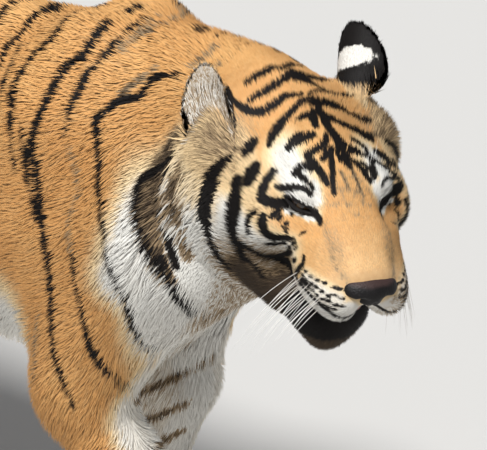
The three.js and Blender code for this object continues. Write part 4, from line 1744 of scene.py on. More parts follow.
    def inner_marks(self, leg: str) -> list:
        """Returns the short bars on the inner side of a leg.

        Args:
            leg: the leg's name, such as fore_left.

        Returns:
            The marks.
        """
        rng = np.random.default_rng(80 + len(leg))
        stance = STANCE[leg]
        fore = leg.startswith("fore")
        top, low = (450, 120) if fore else (500, 200)
        marks = []
        for up in np.arange(top, low, -56.0):
            if fore:
                swing = stance.forward - 60
                ways = (stance.forward - 56, 14 + 0.36 * swing, -9 + 0.13 * swing)
                middle = float(np.interp(up, (128, 392, 478), ways))
                end = (middle + 60, up + rng.uniform(22, 40))
                line = ((middle - 40, up - 40), (middle, up - 10), end)
            else:
                middle, half = self.hind_reach(stance, up)
                end = (middle + half * 0.7, up - rng.uniform(0, 20))
                line = ((middle - half, up + 6), (middle, up - 8), end)
            marks.append(Mark(line, (1.0, rng.uniform(2.8, 4.6), 2.0), 2.4, 0.34))
        return marks

    def stripe(self, points: Array) -> tuple:
        """Returns the distance to the nearest dark mark's edge, and how dusky the coat is, painted
        shade included.

        Args:
            points: the places, as rows in the tiger's own frame.

        Returns:
            The distances, negative inside a mark, and the duskiness from 0 up.
        """
        edge = np.full(len(points), NO_MARK)
        dusk = np.zeros(len(points))
        lowest, highest = points.min(axis=0), points.max(axis=0)
        for mark in self.drawn:
            low, high = mark.points.min(axis=0) - self.felt, mark.points.max(axis=0) + self.felt
            if (low > highest).any() or (high < lowest).any():
                continue
            near = ((points > low) & (points < high)).all(axis=1).nonzero()[0]
            if not len(near):
                continue
            q = points[near]
            closest = np.full(len(q), FAR)
            for start in range(0, len(mark.points), self.run):
                part = slice(start, start + self.run)
                gap = np.sqrt(((q[:, None, :] - mark.points[None, part, :]) ** 2).sum(axis=2))
                closest = np.minimum(closest, (gap - mark.widths[None, part]).min(axis=1))
            if mark.fade > self.faint:
                cover = (1.3 - mark.fade) * ramp(mark.soft + 1, -mark.soft, closest)
                dusk[near] = np.maximum(dusk[near], cover)
            else:
                edge[near] = np.minimum(edge[near], closest)
        along, gap, _ = TAIL.nearest(points)
        edge = np.where(gap < TAIL.hold, np.minimum(edge, self.tail_rings(along, points)), edge)
        self.painted_shade_and_flecks(points, dusk)
        self.ear_marks(points, edge, dusk)
        self.lip_marks(points, edge)
        return edge, dusk

    @staticmethod
    def tail_rings(along: Array, points: Array) -> Array:
        """Returns the distance to the edges of the tail's dark rings and its dark tip.

        Args:
            along: how far along the tail each point is.
            points: the places, as rows in the tiger's own frame.

        Returns:
            The distances, negative inside a ring.
        """
        wave = along + 7.0 * ripple(points, 60.0, 9)
        apart, first, slim, tip = 74.0, 90, 300, 66.0
        rings = np.abs(wave % apart - apart / 2) - np.where(along < slim, 7.0, 12.0)
        rings = np.where(along > first, rings, NO_MARK)
        return np.minimum(rings, TAIL.length - tip - wave)

    @staticmethod
    def painted_shade_and_flecks(points: Array, dusk: Array) -> None:
        """Paints shade under the chin, in the hollow behind the mouth, beside the nose's bridge, on
        the breast and between the forelegs; darkens a patch before each ear and flecks the brow.

        Args:
            points: the places, as rows in the tiger's own frame.
            dusk: the duskiness there, which is raised.
        """
        h = placed(TO_HEAD, points)
        side = folded(h)
        # Painted shade under the chin.
        chin = ramp(-112, -140, h[:, 2]) * ramp(0, 30, h[:, 0]) * 1.15
        # Painted shade in the hollow behind the mouth and under each cheek, lighter in one spot,
        # and a darker patch before each ear.
        hollow = np.minimum(2.6 * bump_at(side, (-16, 70, -132), (58, 50, 40)), 1.25)
        upper = np.minimum(1.5 * bump_at(side, (-14, 74, -104), (50, 44, 36)), 0.9)
        hollow = np.maximum(hollow, upper)
        hollow -= 0.6 * bump_at(side, (-14, 78, -100), (22, 30, 15))
        hollow = np.maximum(hollow, 0.62 * bump_at(side, (-130, 112, 12), (44, 44, 36)))
        # Painted shade along each side of the nose's bridge.
        bridge_side_shade = 0.58 * bump_at(side, (40, 33, -26), (40, 8, 18))
        bridge_side_shade = np.maximum(bridge_side_shade, 0.42 * bump_at(side, (84, 31, -50), (32, 6, 12)))
        fleck = 0.5 + 0.5 * ripple(points, 7.0, 31)
        between = (0.08 + 0.62 * np.clip(fleck, 0, 1) ** 2) * bump_at(h, (6, 0, 6), (34, 38, 26))
        found = np.maximum(np.maximum(chin, hollow), np.maximum(bridge_side_shade, between))
        found = found * (length_of(h) < 260)
        forward, up = -points[:, 1], points[:, 2]
        out = np.abs(points[:, 0])
        # Painted shade on the breast under the ruff, where the head shades it.
        breast = ramp(150, 196, forward + 10 * fleck) * ramp(150, 112, out) * ramp(800, 730, up)
        found = np.maximum(found, 0.40 * breast * ramp(400, 470, up))
        # Painted shade between the forelegs and on their inner sides.
        under = 0.20 * ramp(90, 60, out) * ramp(560, 500, up) * ramp(-120, -60, forward)
        found = np.maximum(found, under)
        np.maximum(dusk, found, out=dusk)

    @staticmethod
    def ear_marks(points: Array, edge: Array, dusk: Array) -> None:
        """Darkens the backs of the ears, round a white spot, and their rims.

        Args:
            points: the places, as rows in the tiger's own frame.
            edge: the distances to marks, which are changed.
            dusk: the duskiness, which is changed.
        """
        for ear in BODY.ears.values():
            close = (length_of(points - ear.middle) < ear.reach + 10).nonzero()[0]
            if not len(close):
                continue
            q = ear.own(points[close])
            along, across = q[:, 2] / (ear.length / 2), q[:, 1] / (ear.width / 2)
            off = ear.distance(points[close])
            on_ear = (off < np.where(along > 0.1, 8.0, 3.0)) & (along > -0.62)
            wide = 0.80 if ear is BODY.ears["left"] else 0.55
            spot = (np.hypot(across / wide, (along - 0.14) / 0.27) - 1.0) * 14.0
            spot = spot + 1.3 * ripple(points[close], 5.0, 17)
            back = np.maximum(-spot, (-0.46 - along) * 60.0)
            rim = (0.90 - np.hypot(across, along)) * 42.0
            mark = np.where(q[:, 0] < 0.4, back, rim + 1.5)
            if ear is BODY.ears["right"]:
                mark = np.where(along > 0.45, 12.0, mark)
                mark = np.where(q[:, 0] > -1.2, np.maximum(mark, rim + 6.0), mark)
            edge[close] = np.where(on_ear, mark, edge[close])
            inside = on_ear & (q[:, 0] > 0)
            dusk[close] = np.where(inside, 0.34 + 0.34 * ramp(0.5, -0.5, along), dusk[close])
            foot = on_ear & (q[:, 0] <= 0) & (along < -0.3)
            dusk[close] = np.where(foot, 0.5, dusk[close])

    @staticmethod
    def lip_marks(points: Array, edge: Array) -> None:
        """Darkens the lower lip and, partly as painted shade, the jaw below it; also the mouth's
        rims, the lids and the line down from each eye.

        Args:
            points: the places, as rows in the tiger's own frame.
            edge: the distances to marks, which are lowered.
        """
        h = placed(TO_HEAD, points)
        close = ((h[:, 0] > -40) & (length_of(h) < 260)).nonzero()[0]
        if not len(close):
            return
        h, j = h[close], placed(TO_JAW, points[close])
        under = BODY.mouth.under_lip(h)
        # The lower jaw is black from the lip well down its side: partly its black lip, partly
        # painted shade on the jaw.
        depth = -149.0 + 8.0 * ramp(60, 95, h[:, 0]) + 5.0 * ripple(points[close], 22.0, 12)
        back = 24.0 - h[:, 0] + 0.25 * (h[:, 2] + 110)
        on_pad = (h[:, 0] > 40) & (np.abs(h[:, 1]) > 6)
        line = np.where(on_pad, np.abs(under - 18.0) - 1.6, NO_MARK)
        lip = np.maximum(np.maximum(under + 2.0, depth - j[:, 2]), back)
        found = np.minimum(np.minimum(edge[close], line), np.maximum(lip, -8.0))
        found = np.minimum(found, BODY.mouth.distance(points[close]) - 1.6)
        for side, sign in SIDES.items():
            e = placed(TO_EYES[side], points[close])
            rim = EYE.slit(e, sign) - np.where(e[:, 2] < 0, 2.4, 4.4)
            found = np.where((e[:, 0] > 2.0) & (length_of(e) < 42), np.minimum(found, rim), found)
            tear = np.array([(16, sign * 43, -3), (26, sign * 39, -8), (35, sign * 37, -16)], float)
            for start, end in zip(tear[:-1], tear[1:]):
                way = end - start
                t = np.clip((h - start) @ way / (way @ way), 0, 1)
                gap = length_of(h - start - t[:, None] * way)
                found = np.minimum(found, gap - 3.4)
        edge[close] = found

    @staticmethod
    def pale(points: Array, normals: Array) -> Array:
        """Returns how pale the ground colour is: 0 orange, about a half cream, 1 white.

        Args:
            points: the places, as rows in the tiger's own frame.
            normals: the skin's outward directions there.

        Returns:
            The pale shares.
        """
        forward, up = -points[:, 1], points[:, 2]
        side = points[:, 0]
        wander = ripple(points, 90.0, 21)
        belly = ramp(610, 505, up + 20 * wander - 44 * ramp(-300, -130, forward))
        belly = belly * ramp(230, 120, forward)
        outward = np.sign(side) * normals[:, 0] * ramp(20, 60, np.abs(side))
        elbow = np.where(side > 0, -130.0, -94.0)
        limb = np.maximum(ramp(elbow, elbow + 56, forward), ramp(-640, -740, forward))
        belly = belly * ramp(-1150, -900, forward) * (1 - limb * ramp(-0.35, 0.25, outward))
        heights = (300, 400, 450, 490, 530, 600, 650, 710, 780, 860)
        border = np.interp(up, heights, (240, 175, 124, 100, 84, 80, 88, 90, 66, 40))
        border = border + ramp(-0.1, 0.45, outward) * 190 * ramp(450, 390, up)
        border = border - 62 * ramp(30, 90, side) * ramp(720, 640, up) * ramp(440, 500, up)
        chest = ramp(6, 62, forward - border + 9 * wander) * ramp(880, 780, up)
        chest = chest * (0.5 + 0.5 * ramp(800, 700, up))
        inward = -np.sign(side) * normals[:, 0]
        leg = ramp(500, 430, up)
        ahead = ramp(-250, -150, forward) * (0.60 + 0.45 * ramp(500, 420, up))
        legs = ramp(590, 520, up) * ramp(-0.35, 0.4, inward + 0.10 * wander - ahead * normals[:, 1])
        legs = np.maximum(legs, 0.62 * ramp(170, 60, up))
        front = ramp(0.1, 0.5, np.maximum(-normals[:, 1], -normals[:, 2]))
        front = front * ramp(150, 105, np.abs(side))
        chest = np.maximum(chest, front * ramp(-90, -20, forward) * ramp(720, 640, up))
        chest = chest * (1 - 0.8 * leg * ramp(120, 200, forward))
        outer = np.maximum(belly * (1 - leg * 0.9), chest)
        white = np.maximum(outer, 0.84 * legs)
        along, gap, _ = TAIL.nearest(points)
        on_tail = gap < TAIL.hold
        tail = ramp(0.1, -0.7, normals[:, 2]) * 0.9 + 0.15 * ramp(200, 700, along)
        white = np.where(on_tail & (forward < -1010), tail, white)
        rump = ramp(-1000, -1060, forward) * ramp(760, 690, up) * ramp(430, 520, up) * 0.8
        rump = rump * ramp(0.4, -0.2, outward)
        white = np.maximum(white, np.where(on_tail, 0.0, rump))
        return Pattern.pale_head(points, normals, white)

    @staticmethod
    def pale_head(points: Array, normals: Array, white: Array) -> Array:
        """Returns the pale share with the face's white parts added.

        Args:
            points: the places, as rows in the tiger's own frame.
            normals: the skin's outward directions there.
            white: the pale shares so far.

        Returns:
            The pale shares.
        """
        h = placed(TO_HEAD, points)
        n = normals @ HEAD[:3, :3]
        on_head = ramp(-250, -170, h[:, 0]) * ramp(-300, -240, h[:, 2])
        inner = folded(h)
        x, y, z = inner.T
        wander = ripple(points, 40.0, 23)
        face = 0.10 + 0.12 * ramp(30, 100, x)
        low = ramp(6, -52, z + 6 * wander) * ramp(46, 78, y + 0.3 * np.minimum(x, 0.0))
        face = np.maximum(face, 0.42 * ramp(74, 92, y) * ramp(60, 20, z))
        low = low * (1 - 0.42 * ramp(-60, -100, x) * ramp(-120, -60, z))
        face = np.maximum(face, low * ramp(66, 16, x + 0.25 * (z + 40)))
        face = np.maximum(face, 1.15 * bump_at(inner, (-50, 60, 34), (27, 21, 40)) ** 0.8)
        for gain, centre, reach in PALE_SPOTS:
            spot = gain * bump_at(inner, centre, reach)
            face = np.maximum(face, spot) if gain > 0 else face * (1 + spot)
        for side, sign in SIDES.items():
            e = placed(TO_EYES[side], points)
            lid = ramp(EYE.radius + 12, EYE.radius + 6, length_of(e))
            lid = lid * ramp(1, 4, e[:, 2]) * ramp(4, 9, e[:, 0])
            width = 6.5 + 4.5 * ramp(2, 16, e[:, 1] * sign)
            lower = ramp(3.0, 0.0, EYE.slit(e, sign) - width)
            lower = lower * ramp(0, -3, e[:, 2]) * ramp(0, 5, e[:, 0]) * (length_of(e) < 44)
            face = np.maximum(face, np.maximum(lid, lower))
        muzzle = ramp(-60, -80, z + 3 * wander) * ramp(20, 40, x)
        face = np.maximum(face, muzzle)
        face = np.maximum(face, 0.80 * ramp(-40, -60, z) * ramp(44, 66, x) * ramp(26, 40, y))
        face = np.maximum(face, ramp(-100, -120, z))
        face = np.maximum(face, ramp(0.2, 0.75, -n[:, 2]) * ramp(30, 0, x))
        ruff = ramp(-20, -70, z + 9 * wander) * ramp(-60, -100, x)
        ruff = ruff * (0.5 + 0.5 * ramp(-60, -120, z))
        face = np.maximum(face, ruff)
        for ear in BODY.ears.values():
            close = ear.distance(points) < 4.0
            q = ear.own(points)
            along = q[:, 2] / (ear.length / 2)
            spot = np.hypot(q[:, 1] / (ear.width / 2) / 0.95, (along - 0.14) / 0.45) < 1.0
            back = np.where(spot, 1.0, 0.3)
            inside = np.where(along > -0.7, 0.95, 0.5)
            face = np.where(close, np.where(q[:, 0] > 0, inside, back), face)
            on_head = np.where(close, 1.0, on_head)
        return np.clip(white + (np.clip(face, 0, 1) - white) * on_head, 0.0, 1.0)

    @staticmethod
    def gum(points: Array) -> Array:
        """Returns 1 inside the mouth and 0 outside it.

        Args:
            points: the places, as rows in the tiger's own frame.

        Returns:
            The shares.
        """
        h = placed(TO_HEAD, points)
        inside = ramp(3.0, 0.5, BODY.mouth.distance(points))
        return inside * ramp(108, 84, h[:, 0]) * ramp(46, 32, np.abs(h[:, 1]))


# --------------------------------------------------------------------------------- shading
class Num:
    """A number socket of a shader that is worked with as a Python number."""

    def __init__(self, tree: "Nodes", socket: NodeSocket) -> None:
        """Wraps a socket."""
        self.tree = tree
        self.socket = socket

    def math(self, operation: str, *others: object) -> "Num":
        """Returns this number put through a Math node with others."""
        return self.tree.math(operation, self, *others)

    def __add__(self, other: object) -> "Num":
        """Returns the sum."""
        return self.math("ADD", other)

    __radd__ = __add__

    def __mul__(self, other: object) -> "Num":
        """Returns the product."""
        return self.math("MULTIPLY", other)

    __rmul__ = __mul__

    def __sub__(self, other: object) -> "Num":
        """Returns the difference."""
        return self.math("SUBTRACT", other)

    def __rsub__(self, other: object) -> "Num":
        """Returns the other less this."""
        return self.tree.math("SUBTRACT", other, self)

    def rise(self, low: float, high: float) -> "Num":
        """Returns 0 at low and 1 at high, with a smooth rise between.

        Args:
            low: where the rise starts.
            high: where it ends.

        Returns:
            The number.
        """
        inputs = {"Value": self, "From Min": low, "From Max": high}
        node = self.tree.add("ShaderNodeMapRange", {"interpolation_type": "SMOOTHSTEP"}, inputs)
        return Num(self.tree, node.outputs["Result"])


class Nodes:
    """The node tree of one material."""

    def __init__(self, name: str) -> None:
        """Makes a material with a principled shader.

        Args:
            name: the material's name.
        """
        self.material = bpy.data.materials.new(name)
        self.material.use_nodes = True
        self.tree = self.material.node_tree
        self.shader = self.tree.nodes["Principled BSDF"]

    def add(
        self, kind: str, settings: Optional[dict] = None, inputs: Optional[dict] = None
    ) -> Node:
        """Returns a new node.

        Args:
            kind: the node's type.
            settings: its own settings, which are made first.
            inputs: values or links of its sockets, by name or number.

        Returns:
            The node.
        """
        node = self.tree.nodes.new(kind)
        for key, value in (settings or {}).items():
            setattr(node, key, value)
        for key, value in (inputs or {}).items():
            self.put(node.inputs[key], value)
        return node

    def put(self, socket: NodeSocket, value: object) -> None:
        """Links a socket, or sets its value.

        Args:
            socket: the socket.
            value: a number, a colour, a Num or another socket.
        """
        if isinstance(value, Num):
            value = value.socket
        if isinstance(value, NodeSocket):
            self.tree.links.new(value, socket)
        elif isinstance(value, tuple) and socket.type == "RGBA":
            socket.default_value = (*value, 1.0)
        else:
            socket.default_value = value

    def math(self, operation: str, *values: object) -> Num:
        """Returns the result of a Math node."""
        node = self.add("ShaderNodeMath", {"operation": operation}, dict(enumerate(values)))
        return Num(self, node.outputs[0])

    def attribute(self, name: str) -> Num:
        """Returns a number that the mesh holds."""
        node = self.add("ShaderNodeAttribute", {"attribute_name": name})
        return Num(self, node.outputs["Fac"])

    def place(self) -> NodeSocket:
        """Returns the object's own coordinates."""
        return self.add("ShaderNodeTexCoord").outputs["Object"]

    def noise(self, scale: float, detail: float = 2.0, stretch: tuple = (1, 1, 1)) -> Num:
        """Returns a noise over the object's own coordinates.

        Args:
            scale: how fine it is.
            detail: how many finer layers it has.
            stretch: its scale along each axis.

        Returns:
            The noise, from 0 to 1.
        """
        moved_to = self.add("ShaderNodeMapping", None, {"Vector": self.place(), "Scale": stretch})
        inputs = {"Vector": moved_to.outputs[0], "Scale": scale, "Detail": detail}
        return Num(self, self.add("ShaderNodeTexNoise", None, inputs).outputs[0])

    def mix(self, share: object, low: object, high: object) -> NodeSocket:
        """Returns a mix of two colours.

        Args:
            share: how much of the second colour.
            low: the first colour.
            high: the second colour.

        Returns:
            The colour's socket.
        """
        node = self.add("ShaderNodeMix", {"data_type": "RGBA"}, {0: share})
        self.put(node.inputs[6], low)
        self.put(node.inputs[7], high)
        return node.outputs[2]

    def bump(self, height: Num, strength: float, distance: float) -> NodeSocket:
        """Returns a bumped normal."""
        inputs = {"Height": height, "Strength": strength, "Distance": distance}
        return self.add("ShaderNodeBump", None, inputs).outputs[0]

    def finish(self, **sockets: object) -> Material:
        """Sets the shader's sockets, with _ for a space in a name, and returns the material.

        Args:
            **sockets: the values or links.

        Returns:
            The material.
        """
        for key, value in sockets.items():
            self.put(self.shader.inputs[key.replace("_", " ")], value)
        return self.material


@dataclass(frozen=True)
class CoatColours:
    """The colours of the coat and the skin beneath it."""

    deep: tuple = (0.60, 0.290, 0.095)
    orange: tuple = (0.86, 0.50, 0.195)
    cream: tuple = (0.86, 0.65, 0.37)
    white: tuple = (0.82, 0.80, 0.74)
    # shade and tan darken the dusky marks and the painted shade that the dusk attribute holds; the
    # dusk colour is painted shade at the tufts' roots and on the skin between them, and the colour
    # of some darker tufts.
    shade: tuple = (0.050, 0.034, 0.022)
    dusk: tuple = (0.16, 0.115, 0.078)
    tan: tuple = (0.36, 0.25, 0.14)
    black: tuple = (0.0075, 0.006, 0.0055)
    gum: tuple = (0.30, 0.085, 0.055)

    def material(self, name: str, tufts: bool) -> Material:
        """Returns the finish of the coat, or of the skin beneath it, with painted shade towards the
        tufts' roots and on the skin.

        Args:
            name: the material's name.
            tufts: whether it is for the tufts.

        Returns:
            The material.
        """
        n = Nodes(name)
        tone = n.attribute("tone")
        patch = n.noise(9.0, 3.0)
        fine = n.noise(140.0, 2.0)
        warm = (patch * 0.9 + tone * 0.35 + fine * 0.3 - 0.42).rise(0.0, 1.0)
        ground = n.mix(warm, self.deep, self.orange)
        pale = n.attribute("pale") + (fine - 0.5) * 0.10
        ground = n.mix(pale.rise(0.0, 0.55), ground, self.cream)
        ground = n.mix(pale.rise(0.45, 0.95), ground, self.white)
        # Painted shade: each tuft darkens towards its root, and the skin between the tufts is
        # darker still; some tufts are also darker at random.
        root = n.attribute("tip").rise(0.7, 0.0) * (0.21 if tufts else 0.34)
        if tufts:
            root = root + tone.rise(0.72, 1.0) * 0.18
        ground = n.mix(root, ground, self.dusk)
        # The dusk attribute holds dusky marks and painted shade alike.
        dusky = n.attribute("dusk") + (tone - 0.5) * 0.62 * n.attribute("dusk").rise(0.0, 0.2)
        ground = n.mix(dusky.rise(0.05, 0.55), ground, self.tan)
        ground = n.mix(dusky.rise(0.30, 1.10), ground, self.shade)
        edge = n.attribute("stripe") + (tone - 0.5) * 1.8 + (fine - 0.5) * 2.0
        colour = n.mix(edge.rise(2.2, 0.4), ground, self.black)
        colour = n.mix(n.attribute("gum"), colour, self.gum)
        rough = 0.62 - 0.28 * n.attribute("gum")
        height = n.noise(420.0, 2.0) if tufts else n.noise(260.0, 3.0)
        normal = n.bump(height, 0.25, 0.001)
        return n.finish(
            Base_Color=colour, Roughness=rough, Normal=normal, Specular_IOR_Level=0.16
        )


@dataclass(frozen=True)
class EyeColours:
    """The colours of an eye, and how far out its pupil, ring and white begin."""

    pupil: tuple = (0.004, 0.003, 0.003)
    # The iris is a dark amber-brown, darkened further as painted shade from the lids and brow.
    inner: tuple = (0.030, 0.016, 0.006)
    outer: tuple = (0.070, 0.036, 0.011)
    ring: tuple = (0.022, 0.013, 0.009)
    white: tuple = (0.05, 0.034, 0.028)
    pupil_edge: tuple = (2.6, 3.2)
    ring_edge: tuple = (8.0, 9.4)
    white_edge: tuple = (10.2, 11.4)

    def material(self) -> Material:
        """Returns the finish of an eyeball: a wet iris round a pupil.

        Returns:
            The material.
        """
        n = Nodes("eye_glass")
        reach = n.attribute("gaze")
        streak = n.noise(900.0, 3.0)
        iris = n.mix((reach * 0.16 + streak * 0.9 - 0.9).rise(0.0, 1.0), self.inner, self.outer)
        colour = n.mix(reach.rise(*self.pupil_edge), self.pupil, iris)
        colour = n.mix(reach.rise(*self.ring_edge), colour, self.ring)
        colour = n.mix(reach.rise(*self.white_edge), colour, self.white)
        return n.finish(
            Base_Color=colour, Roughness=0.06, IOR=1.38, Coat_Weight=0.6, Coat_Roughness=0.02
        )


@dataclass(frozen=True)
class NoseColours:
    """The colours of the nose leather."""

    dark: tuple = (0.006, 0.005, 0.005)
    rose: tuple = (0.042, 0.024, 0.022)

    def material(self) -> Material:
        """Returns the finish of the nose: pebbled wet leather, rosy along its top.

        Returns:
            The material.
        """
        n = Nodes("nose_leather_skin")
        blotch = n.noise(55.0, 3.0)
        share = (n.attribute("rose") + (blotch - 0.5) * 0.9).rise(0.1, 0.9)
        pebble = n.add("ShaderNodeTexVoronoi", None, {"Vector": n.place(), "Scale": 520.0})
        height = Num(n, pebble.outputs["Distance"])
        colour = n.mix(share, self.dark, self.rose)
        rough = 0.40 + blotch * 0.22
        normal = n.bump(height, 0.55, 0.0007)
        return n.finish(
            Base_Color=colour, Roughness=rough, Normal=normal, Specular_IOR_Level=0.22
        )


@dataclass(frozen=True)
class TongueColours:
    """The colours of the tongue."""

    deep: tuple = (0.26, 0.065, 0.050)
    pink: tuple = (0.50, 0.19, 0.15)

    def material(self) -> Material:
        """Returns the finish of the tongue, with its rows of small points.

        Returns:
            The material.
        """
        n = Nodes("tongue_flesh_wet")
        colour = n.mix(n.noise(70.0, 3.0).rise(0.3, 0.7), self.deep, self.pink)
        points = n.add("ShaderNodeTexVoronoi", None, {"Vector": n.place(), "Scale": 700.0})
        normal = n.bump(Num(n, points.outputs["Distance"]), 0.6, 0.0008)
        return n.finish(
            Base_Color=colour, Roughness=0.38, Normal=normal, Coat_Weight=0.2, Coat_Roughness=0.2
        )


@dataclass(frozen=True)
class HornColours:
    """The colours of whiskers and claws."""

    root: tuple = (0.42, 0.36, 0.30)
    tip: tuple = (0.90, 0.88, 0.84)

    def material(self, name: str) -> Material:
        """Returns the finish of a whisker or a claw, which pales from its root.

        Args:
            name: the material's name.

        Returns:
            The material.
        """
        n = Nodes(name)
        share = (n.attribute("tip") + n.noise(30.0) * 0.3).rise(0.0, 0.6)
        normal = n.bump(n.noise(600.0), 0.1, 0.0003)
        colour = n.mix(share, self.root, self.tip)
        return n.finish(Base_Color=colour, Roughness=0.36, Normal=normal)


# ------------------------------------------------------------------------------------ coat
class Zone(Enum):
    """The pieces of coat, each with its tufts' number and whether they bend."""

    FACE = ("coat_face", 46000, False)
    CROWN = ("coat_crown", 36000, False)
    EAR_RIGHT = ("coat_ear_right", 8000, False)
    EAR_LEFT = ("coat_ear_left", 8000, False)
    CHEEKS = ("coat_cheeks", 18500, True)
    NECK = ("coat_neck", 47000, False)
    TRUNK_RIGHT = ("coat_trunk_right", 41000, False)
    TRUNK_LEFT = ("coat_trunk_left", 41000, False)
    FORELEG_RIGHT = ("coat_foreleg_right", 16500, False)
    FORELEG_LEFT = ("coat_foreleg_left", 16500, False)
    HINDLEG_RIGHT = ("coat_hindleg_right", 19500, False)
    HINDLEG_LEFT = ("coat_hindleg_left", 19500, False)
    TAIL = ("coat_tail", 16000, False)
    EAR_HAIR = ("coat_ear_hair", 5500, True)

    @property
    def number(self) -> int:
        """Returns the zone's place in the order of the zones."""
        return list(Zone).index(self)


@dataclass
class Roots:
    """Places on the skin where tufts grow, with their lie and size."""

    points: Array
    normals: Array
    ways: Array
    lengths: Array
    widths: Array
    rises: Array


def put_values(mesh: Mesh, **values: Array) -> None:
    """Stores numbers on a mesh's vertices.

    Args:
        mesh: the mesh.
        **values: a row of numbers for each name.
    """
    for name, row in values.items():
        layer = mesh.attributes.new(name, "FLOAT", "POINT")
        layer.data.foreach_set("value", row.astype(np.float32))


def mesh_of(name: str, points: Array, faces: Array) -> Mesh:
    """Returns a mesh of triangles from joined arrays, in metres in the shared frame.

    Args:
        name: the mesh's name.
        points: the corners, in the tiger's own frame.
        faces: three corner numbers for each triangle.

    Returns:
        The mesh.
    """
    mesh = bpy.data.meshes.new(name)
    mesh.vertices.add(len(points))
    mesh.loops.add(faces.size)
    mesh.polygons.add(len(faces))
    mesh.vertices.foreach_set("co", to_frame(points).astype(np.float32).ravel())
    mesh.loops.foreach_set("vertex_index", faces.astype(np.int32).ravel())
    mesh.polygons.foreach_set("loop_start", np.arange(0, faces.size, 3, dtype=np.int32))
    mesh.update(calc_edges=True)
    return mesh


class Tuft(Enum):
    """A tuft's shape: its corners, as (along, across, above), and its faces."""

    SPIKE = (
        ((0, -1, 0), (0, 1, 0), (0, 0, 0.8), (1, 0, 0)),
        ((0, 2, 1), (0, 1, 3), (1, 2, 3), (2, 0, 3)),
    )
    BENT = (
        (
            (0, -1, 0), (0, 1, 0), (0, 0, 0.8),
            (0.5, -0.8, 0), (0.5, 0.8, 0), (0.5, 0, 0.65), (1, 0, 0),
        ),
        (
            (0, 2, 1), (0, 1, 4), (0, 4, 3), (1, 2, 5), (1, 5, 4),
            (2, 0, 3), (2, 3, 5), (3, 4, 6), (4, 5, 6), (5, 3, 6),
        ),
    )


